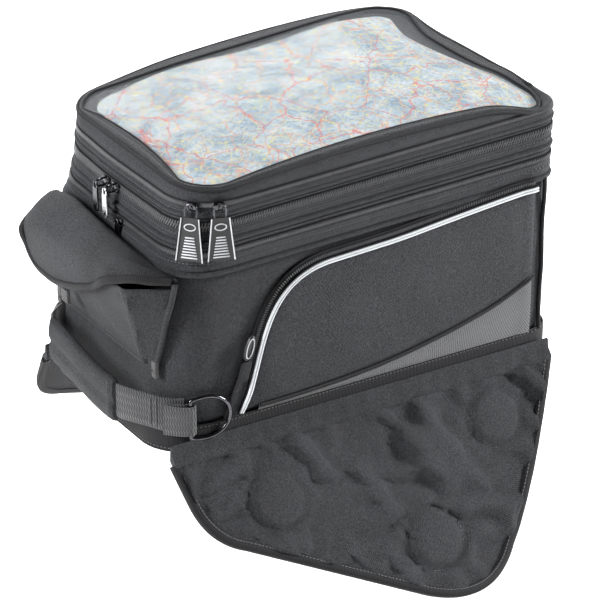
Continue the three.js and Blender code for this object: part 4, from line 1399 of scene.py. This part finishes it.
def magnet_flap(name, side, form):
    body = f"magnet_flap_{name}"
    front = form.copy()
    front[..., 2] = np.maximum(front[..., 2], 0.5)
    back = form[:, ::-1].copy()
    back[..., 2] = 0.0
    cover = cloth_grid(f"flap_cover_cloth_{name}",
                       flap_place(np.concatenate([front, back], 1), side),
                       rings=True, caps=True, angle=60)
    dress(cover, CORDURA, body, [f"flap_cover_{name}"])
    x, y = flap_cloth_form()
    x, y = x[::2], y[::2]
    low = xyz(x, y, -0.5 + 0.3 * ripple(xyz(x, y, 0), 30, 61))
    lining = cloth_grid(f"flap_lining_cloth_{name}", flap_place(low, side), angle=60)
    dress(smooth(thicken(lining, 0.9, -side), 60), LINING, body, [f"flap_lining_{name}"])

    section = [(-0.4, -1.8), (-0.2, 1.0), (0.6, 2.9), (2.2, 3.4), (5.0, 3.1), (7.6, 2.6),
               (8.2, 1.4), (7.6, 0.2), (7.4, -1.0), (6.8, -2.0), (3.4, -2.5), (0.8, -2.4)]
    knots = np.arange(len(RIM))
    pucker = 0.35 * np.sin(knots * 0.9) + 0.3 * np.sin(knots * 0.37)
    rows = [np.concatenate([RIM + RIM_INWARD * (a + 0.25 * pucker * (a > 4))[:, None],
                            (b + 0.3 * pucker * (b > 0))[:, None]], 1) for a, b in section]
    tape = cloth_grid(f"flap_binding_tape_{name}",
                      flap_place(np.stack(rows, 1), side), rings=True, caps=True, angle=50)
    dress(tape, TAPE, body, [f"flap_binding_{name}"])

    def sew_on(label, places, ahead):
        """Stitches at places in the flap's own plane, each one towards the place ahead."""
        here = flap_place(places, side)
        along = unit(flap_place(ahead, side) - here)
        out = unit(flap_place(places + [0, 0, 1], side) - here)
        sew(f"{label}_{name}", here, along, out, np.cross(along, out), body)

    def seam_line(k):
        line = RIM + RIM_INWARD * 6.4
        return xyz(*(np.interp(k, knots, line[:, j]) for j in (0, 1)), 3.0)
    length = np.sum(np.linalg.norm(np.diff(RIM, axis=0), axis=1))
    at = np.linspace(2, len(RIM) - 3, int(length / STITCH_PITCH))
    sew_on("flap_binding_stitching", seam_line(at), seam_line(at + 0.5))
    turn = np.linspace(0, 2 * math.pi, 46, endpoint=False)
    c, s = np.cos(turn), np.sin(turn)
    rings = np.concatenate([xyz(mx + STITCH_RING * c, my + STITCH_RING * s, 1.0)
                            for mx, my in MAGNETS])
    sew_on("magnet_pocket_stitching", rings, rings + np.tile(xyz(-s, c, 0), (3, 1)))
    flap_seam(name, side)


def flap_seam(name, side):
    """The cloth hinge: from the base's seam down on to the flap."""
    x = np.linspace(2, 372, 90)
    seam_x = SEAM_START[0] + x * SEAM_RUN[0] / 374.6
    wall_half = 101 + (seam_x - SEAM_START[0]) / SEAM_RUN[0] * SEAM_RUN[1]
    gather = 0.5 * np.sin(x / 2.9) + 0.4 * np.sin(x / 7.3 + 1.0)

    def on_base(proud, share, z):
        return xyz(seam_x, side * (wall_half + proud + share * gather), z)
    rows = [on_base(2.6, 0, 14.5), on_base(4.0, 0.3, 13.0), on_base(4.4, 1, 6.0)]
    rows += [flap_place(xyz(x, down, proud + share * gather), side)
             for down, proud, share in ((1.0, 4.2, 1.0), (4.0, 3.4, 0.8), (6.0, 2.6, 0.5),
                                        (7.0, 1.0, 0.0), (8.5, -1.6, 0.0), (3.0, -1.4, 0.0))]
    rows.append(on_base(1.4, 0, 0.6))
    piece = cloth_grid(f"flap_seam_cloth_{name}", np.stack(rows, 1), rings=True, caps=True,
                       angle=50)
    dress(piece, CORDURA)
    start, end = (flap_place(np.array([187.0, down, 0.0]), side) * MM for down in (0.0, 9.0))
    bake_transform(piece)
    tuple(start)
    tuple(end)


# ---- Handle and D-rings ------------------------------------------------------------------
def strap(name, path, z_low, z_high, thick, finish, body=None, replaces=(), count=40):
    """Webbing on edge: a flat section carried along a path in plan."""
    path = smooth_path(path, count)
    way = unit(np.gradient(path, axis=0))
    normal = np.stack([way[:, 1], -way[:, 0]], 1)
    height = z_high - z_low
    levels = (0.03, 0.25, 0.5, 0.75, 0.97)
    section = ([(-0.5, level) for level in levels] + [(-0.25, 1.0), (0.25, 1.0)]
               + [(0.5, level) for level in reversed(levels)] + [(0.25, 0), (-0.25, 0)])
    rows = [xyz(*(path + normal * (a * thick)).T, z_low + b * height) for a, b in section]
    piece = cloth_grid(name, np.stack(rows, 1), rings=True, caps=True, angle=50)
    return dress(piece, finish, body, replaces)


def grip_height(y):
    """The handle hangs a little askew: higher at its left end, lower by the right ring."""
    return 40 + 11 * rampup(-40, 60, y) - 11 * rampup(60, 100, y) - 5 * rampup(-60, -100, y)


def carry_handle():
    path = [(-168, 96.5), (-175, 92.5), (-182.5, 86.5), (-190.5, 76.5), (-198.5, 66.5),
            (-204, 56), (-206.4, 44)]
    for name, side in SIDES:
        node = ["handle_webbing"] if name == "right" else []
        piece = strap(f"handle_webbing_{name}", [(x, side * y) for x, y in path], 24.5, 55.5,
                      2.2, WEBBING, None, node)
        placed(piece, lambda p: p + xyz(0, 0, grip_height(p[:, 1]) - 40))
        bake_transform(piece)
        bars = []
        for y in (79.0, 83.0):
            x = float(np.interp(y, (76.5, 86.5), (-190.5, -182.5))) - 1.6
            place = (x, side * (y + 0.9), grip_height(side * y))
            bars.append(block("bar", (0.9, 0.9, 26), place, 0.3, 1))
        dress(smooth(join(f"handle_bartack_{name}", bars)), THREAD, "bag")
    turn = np.linspace(0, 2 * math.pi, 48, endpoint=False)
    rows = []
    c, s = np.cos(turn), np.sin(turn)
    half = 52
    for y in np.linspace(-half, half, 41):
        end = min(1.0, (half - abs(y)) / 3.0) ** 0.5
        thick = 3.2 + 2.1 * end
        tall = 19.6 + 0.5 * end
        x = np.sign(c) * np.abs(c) ** 0.75 * thick
        z = np.sign(s) * np.abs(s) ** 0.62 * tall
        crease = np.where(c < 0, 1.7 * np.exp(-(z / 3.2) ** 2), np.exp(-(z / 3.0) ** 2))
        x = x - np.sign(c) * crease
        centre = -206.5 - 0.6 * math.cos(y / half * 1.5)
        rows.append(xyz(centre + x, y, grip_height(y) + z))
    points = np.array(rows)
    edge = rampup(0.3, 1.0, 1 - np.abs(points[..., 1]) / half)
    points[..., 0] -= 0.55 * ripple(points, 24, 71) * (0.4 + 0.6 * edge)
    piece = cloth_grid("handle_grip_pad", points, rings=True, caps=True, angle=50)
    dress(piece, LIT_CORDURA, "carry_handle", ["handle_grip"])
    places = np.array([(-212.2, y, z) for y in (-48.0, 48.0) for z in np.arange(24, 57, 3.6)])
    sew("handle_grip_stitching", places, (1, 0, 0), (0, 1, 0), (0, 0, 1), "carry_handle",
        (0.5, 0.5, 2.4), 0.18)


def d_ring(name, side):
    turn = side * math.radians(11)
    c, s = math.cos(turn), math.sin(turn)

    def place(points):
        x, y, z = points.T
        return xyz(x * c - y * s - 166, x * s + y * c + side * 103.5,
                   z + grip_height(side * 100) - 2)
    bow = bezier([(0, 0, 17.5), (46, 0, 30), (46, 0, -30), (0, 0, -17.5)],
                 np.linspace(0, 1, 44))
    path = np.concatenate([bow, np.linspace((0, 0, -17.5), (0, 0, 17.5), 16)[1:-1]])
    wire = tube(f"d_ring_wire_{name}", place(path), 1.75, 12, closed=True)
    dress(wire, BLACK_METAL, f"ring_{name}", [f"d_ring_{name}"])
    tail = [(-182.5, 87.5), (-176, 94.2), (-170, 99.0), (-164.5, 100.2), (-161.6, 103.5),
            (-164.5, 106.8), (-170, 105.2), (-177, 99.4), (-184.5, 91)]
    drop = grip_height(side * 100) - 40
    strap(f"ring_tab_webbing_{name}", [(x, side * y) for x, y in tail], 24.8 + drop,
          51.6 + drop, 1.5, WEBBING, "bag", [f"ring_webbing_{name}"], 60)


# ---- Sliders and pulls -------------------------------------------------------------------
def at_frame(origin, turn, lay=0.0):
    """Maps a slider's own frame (x along the zip, -y outwards, z up) to the bag."""
    c, s = math.cos(turn), math.sin(turn)
    cl, sl = math.cos(-lay), math.sin(-lay)

    def mapping(p):
        y, z = p[:, 1] * cl - p[:, 2] * sl, p[:, 1] * sl + p[:, 2] * cl
        return np.array(origin) + xyz(p[:, 0] * c - y * s, p[:, 0] * s + y * c, z)
    return mapping


def slider(name, origin, turn, width, height, proud, body, finish):
    """A slider's plate, its nose and the bridge that its pull hangs from."""
    plate = block("plate", (width, 2.2, height), (0, -2.0, 0), 0.8, 2)
    edit(plate)
    bpy.ops.mesh.select_all(action="DESELECT")
    deselect()
    for face in plate.data.polygons:
        face.select = face.normal.y < -0.9 and face.area > 1e-5
    bpy.context.view_layer.objects.active = plate
    bpy.ops.object.mode_set(mode="EDIT")
    bpy.ops.mesh.select_mode(type="FACE")
    bpy.ops.mesh.inset(thickness=0.0012, depth=0.0005)
    deselect()
    arch = smooth_path([(0, -2.6, -height / 2 + 0.8), (0, -proud + 1.0, -height / 2 + 1.4),
                        (0, -proud + 0.2, 0), (0, -proud + 1.0, height / 2 - 1.4),
                        (0, -2.6, height / 2 - 0.8)], 18)
    bridge = tube("bridge", arch, 0.95, 8)
    nose = block("nose", (2.4, 3.0, height * 0.55), (width / 2 - 0.6, -1.6, 0), 0.7, 2)
    piece = join(f"{name}_body", [plate, bridge, nose])
    placed(piece, at_frame(origin, turn))
    dress(smooth(piece, 35), finish, body, [name])


def wire_loop(name, origin, turn, lay, half, top, low, body, finish, radius=0.85, depth=-0.9):
    """The wire that joins a pull to its slider."""
    turns = np.linspace(0, math.pi, 12)
    over = [(half * math.cos(a), depth, top - half + half * math.sin(a)) for a in turns]
    under = [(-half * 0.9 * math.cos(a), depth, low + half * 0.6 - half * 0.6 * math.sin(a))
             for a in turns]
    piece = tube(name, over + under, radius, 8, closed=True)
    placed(piece, at_frame(origin, turn, lay))
    dress(smooth(piece, 60), finish, body)


def rubber_pull(name, origin, turn, lay, body):
    """A tapered rubber tab: raised rims, an oval boss and eight ribs in its sunk face."""
    slab = block("slab", (20, 2.6, 38), (0, -1.6, -26.0), 0.7, 2)

    def taper(p):
        grow = 0.76 + 0.40 * np.clip((-7 - p[:, 2]) / 38, 0, 1)
        return p * xyz(grow, 1, 1)
    deselect()
    for face in slab.data.polygons:
        face.select = face.normal.y < -0.9 and face.area > 1e-4
    bpy.context.view_layer.objects.active = slab
    bpy.ops.object.mode_set(mode="EDIT")
    bpy.ops.mesh.select_mode(type="FACE")
    bpy.ops.mesh.inset(thickness=0.0016, depth=0)
    bpy.ops.mesh.inset(thickness=0.0006, depth=-0.0009)
    deselect()
    placed(slab, taper)
    placed(slab, at_frame(origin, turn, lay))
    dress(smooth(slab, 35), RUBBER, body, [name])
    slab.name = slab.data.name = f"{name}_rubber"
    trims = [block("rib", (7.6 + k * 0.85, 0.9, 1.15), (0, -2.5, -24.3 - k * 2.4), 0.3, 1)
             for k in range(8)]
    turns = np.linspace(0, 2 * math.pi, 28, endpoint=False)
    oval = xyz(4.6 * np.cos(turns), -2.5, -15.5 + 2.7 * np.sin(turns))
    trims.append(tube("oval", oval, 0.5, 6, closed=True))
    for side in (-1, 1):
        rim = smooth_path([(side * 7.2, -3.0, -8), (side * 9.0, -3.0, -26),
                           (side * 10.9, -3.0, -44.2)], 12)
        trims.append(tube("rim", rim, 0.5, 6))
    trim = join(f"{name}_ribs", trims)
    placed(trim, at_frame(origin, turn, lay))
    dress(smooth(trim, 40), PALE_RUBBER, body)
    wire_loop(f"{name}_wire", origin, turn, lay, 5.0, 3.4, -11.0, body, BLACK_METAL)


def metal_pull(name, origin, turn, top_half, length, hole, body, finish):
    """A stamped tab with a round hole low down, hung from a wire eye."""
    angle = np.linspace(0, 2 * math.pi, 48, endpoint=False)
    low_z = -4 - length + top_half
    outer = np.stack([top_half * np.cos(angle),
                      np.where(np.sin(angle) > 0, -4 + 0.8 * np.sin(angle),
                               low_z + top_half * np.sin(angle))], 1)
    inner = np.stack([hole * np.cos(angle), low_z + hole * np.sin(angle)], 1)
    rings = [xyz(flat[:, 0], y, flat[:, 1])
             for flat, y in ((outer, -0.3), (outer, -1.4), (outer * [0.93, 1], -1.7),
                             (inner, -1.7), (inner, -0.2), (outer * [0.93, 1], -0.1))]
    piece = cloth_grid(f"{name}_tab", rings, rings=True, loops=True, angle=35)
    placed(piece, at_frame(origin, turn))
    dress(smooth(piece, 35), finish, body, [name])
    wire_loop(f"{name}_eye", origin, turn, 0.0, top_half * 0.72, 1.6, -6.0, body, finish, 0.8)


def corner_at(z, degrees):
    """A place on the stack's rear right corner and the zip's direction there."""
    angle = math.radians(degrees)
    x = REAR_X + REAR_CORNER
    y = -(neutral_half(x) - REAR_CORNER / math.cos(SIDE_ANGLE))
    place = lean(x + REAR_CORNER * math.cos(angle), y + REAR_CORNER * math.sin(angle), z,
                 stack_walls)
    return place, angle + math.pi / 2


def outwards(place, turn, distance):
    return np.array([place[0] + distance * math.sin(turn), place[1] - distance * math.cos(turn),
                     place[2]])


def sliders():
    for label, degrees, slope in (("rear", 222, 7), ("side", 250, 3)):
        place, turn = corner_at(227.6, degrees)
        lay = math.radians(slope)
        slider(f"map_zip_slider_{label}", place, turn, 9, 7, 4.5, f"map_zip_slider_{label}",
               BLACK_METAL)
        rubber_pull(f"map_zip_pull_{label}", outwards(place, turn, 4.9), turn, lay,
                    f"map_zip_pull_{label}")

    def on_rear(y, z):
        x = stack_walls(z)[0]
        return np.array([x, y, z * (1 + TILT * x)])
    for label, y, finish in (("left", 12, BLACK_METAL), ("right", -3, BRIGHT_METAL)):
        place = on_rear(y, 209)
        slider(f"main_zip_slider_{label}", place, -math.pi / 2, 9, 8, 11,
               f"main_zip_slider_{label}", BLACK_METAL)
        metal_pull(f"main_zip_pull_{label}", outwards(place, -math.pi / 2, 11.4),
                   -math.pi / 2, 3.6, 21, 1.7, f"main_zip_pull_{label}", finish)
    place = on_rear(-14, 184)
    slider("expansion_zip_slider", place, -math.pi / 2, 8, 6, 3, "expansion_zip_slider",
           BLACK_METAL)
    metal_pull("expansion_zip_pull", outwards(place, -math.pi / 2, 3.4), -math.pi / 2, 2.6, 9,
               1.1, "expansion_zip_pull", BLACK_METAL)


def kept_nodes():
    """The CAD nodes whose shape is right get their finish."""
    finishes = {"base_panel": BASE_GRIP, "floor_board": BOARD}
    for name, _ in SIDES:
        for k in (1, 2, 3):
            finishes[f"flap_magnet_{name}_{k}"] = MAGNET
    for node, finish in finishes.items():
        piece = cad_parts[node]
        if not piece.material_slots:
            piece.data.materials.append(finish.material)
        for slot in piece.material_slots:
            slot.material = finish.material


bag_shell()
base_edge()
lower_band()
upper_band()
lid_band()
gusset()
front_seams()
zips()
hinge_cloth()
lid_panel()
domed_sheet("folded_road_map", sheet_inset(AROUND), 22, (3.0, 0.55, 8, 52), 0.3, MAP, "lid",
            "map_sheet")
domed_sheet("clear_window", window_inset(AROUND) - 2.0, 20, (1.0, 0.35, 11, 85), 0.5, FILM,
            "map_cover", "window_film")
cover_border()
rear_pocket()
rear_flap()
FLAP_FORM = flap_heights()
for side_name, side_sign in SIDES:
    side_pocket(side_name, side_sign)
    magnet_flap(side_name, side_sign, FLAP_FORM)
    d_ring(side_name, side_sign)
carry_handle()
sliders()
kept_nodes()
deselect()
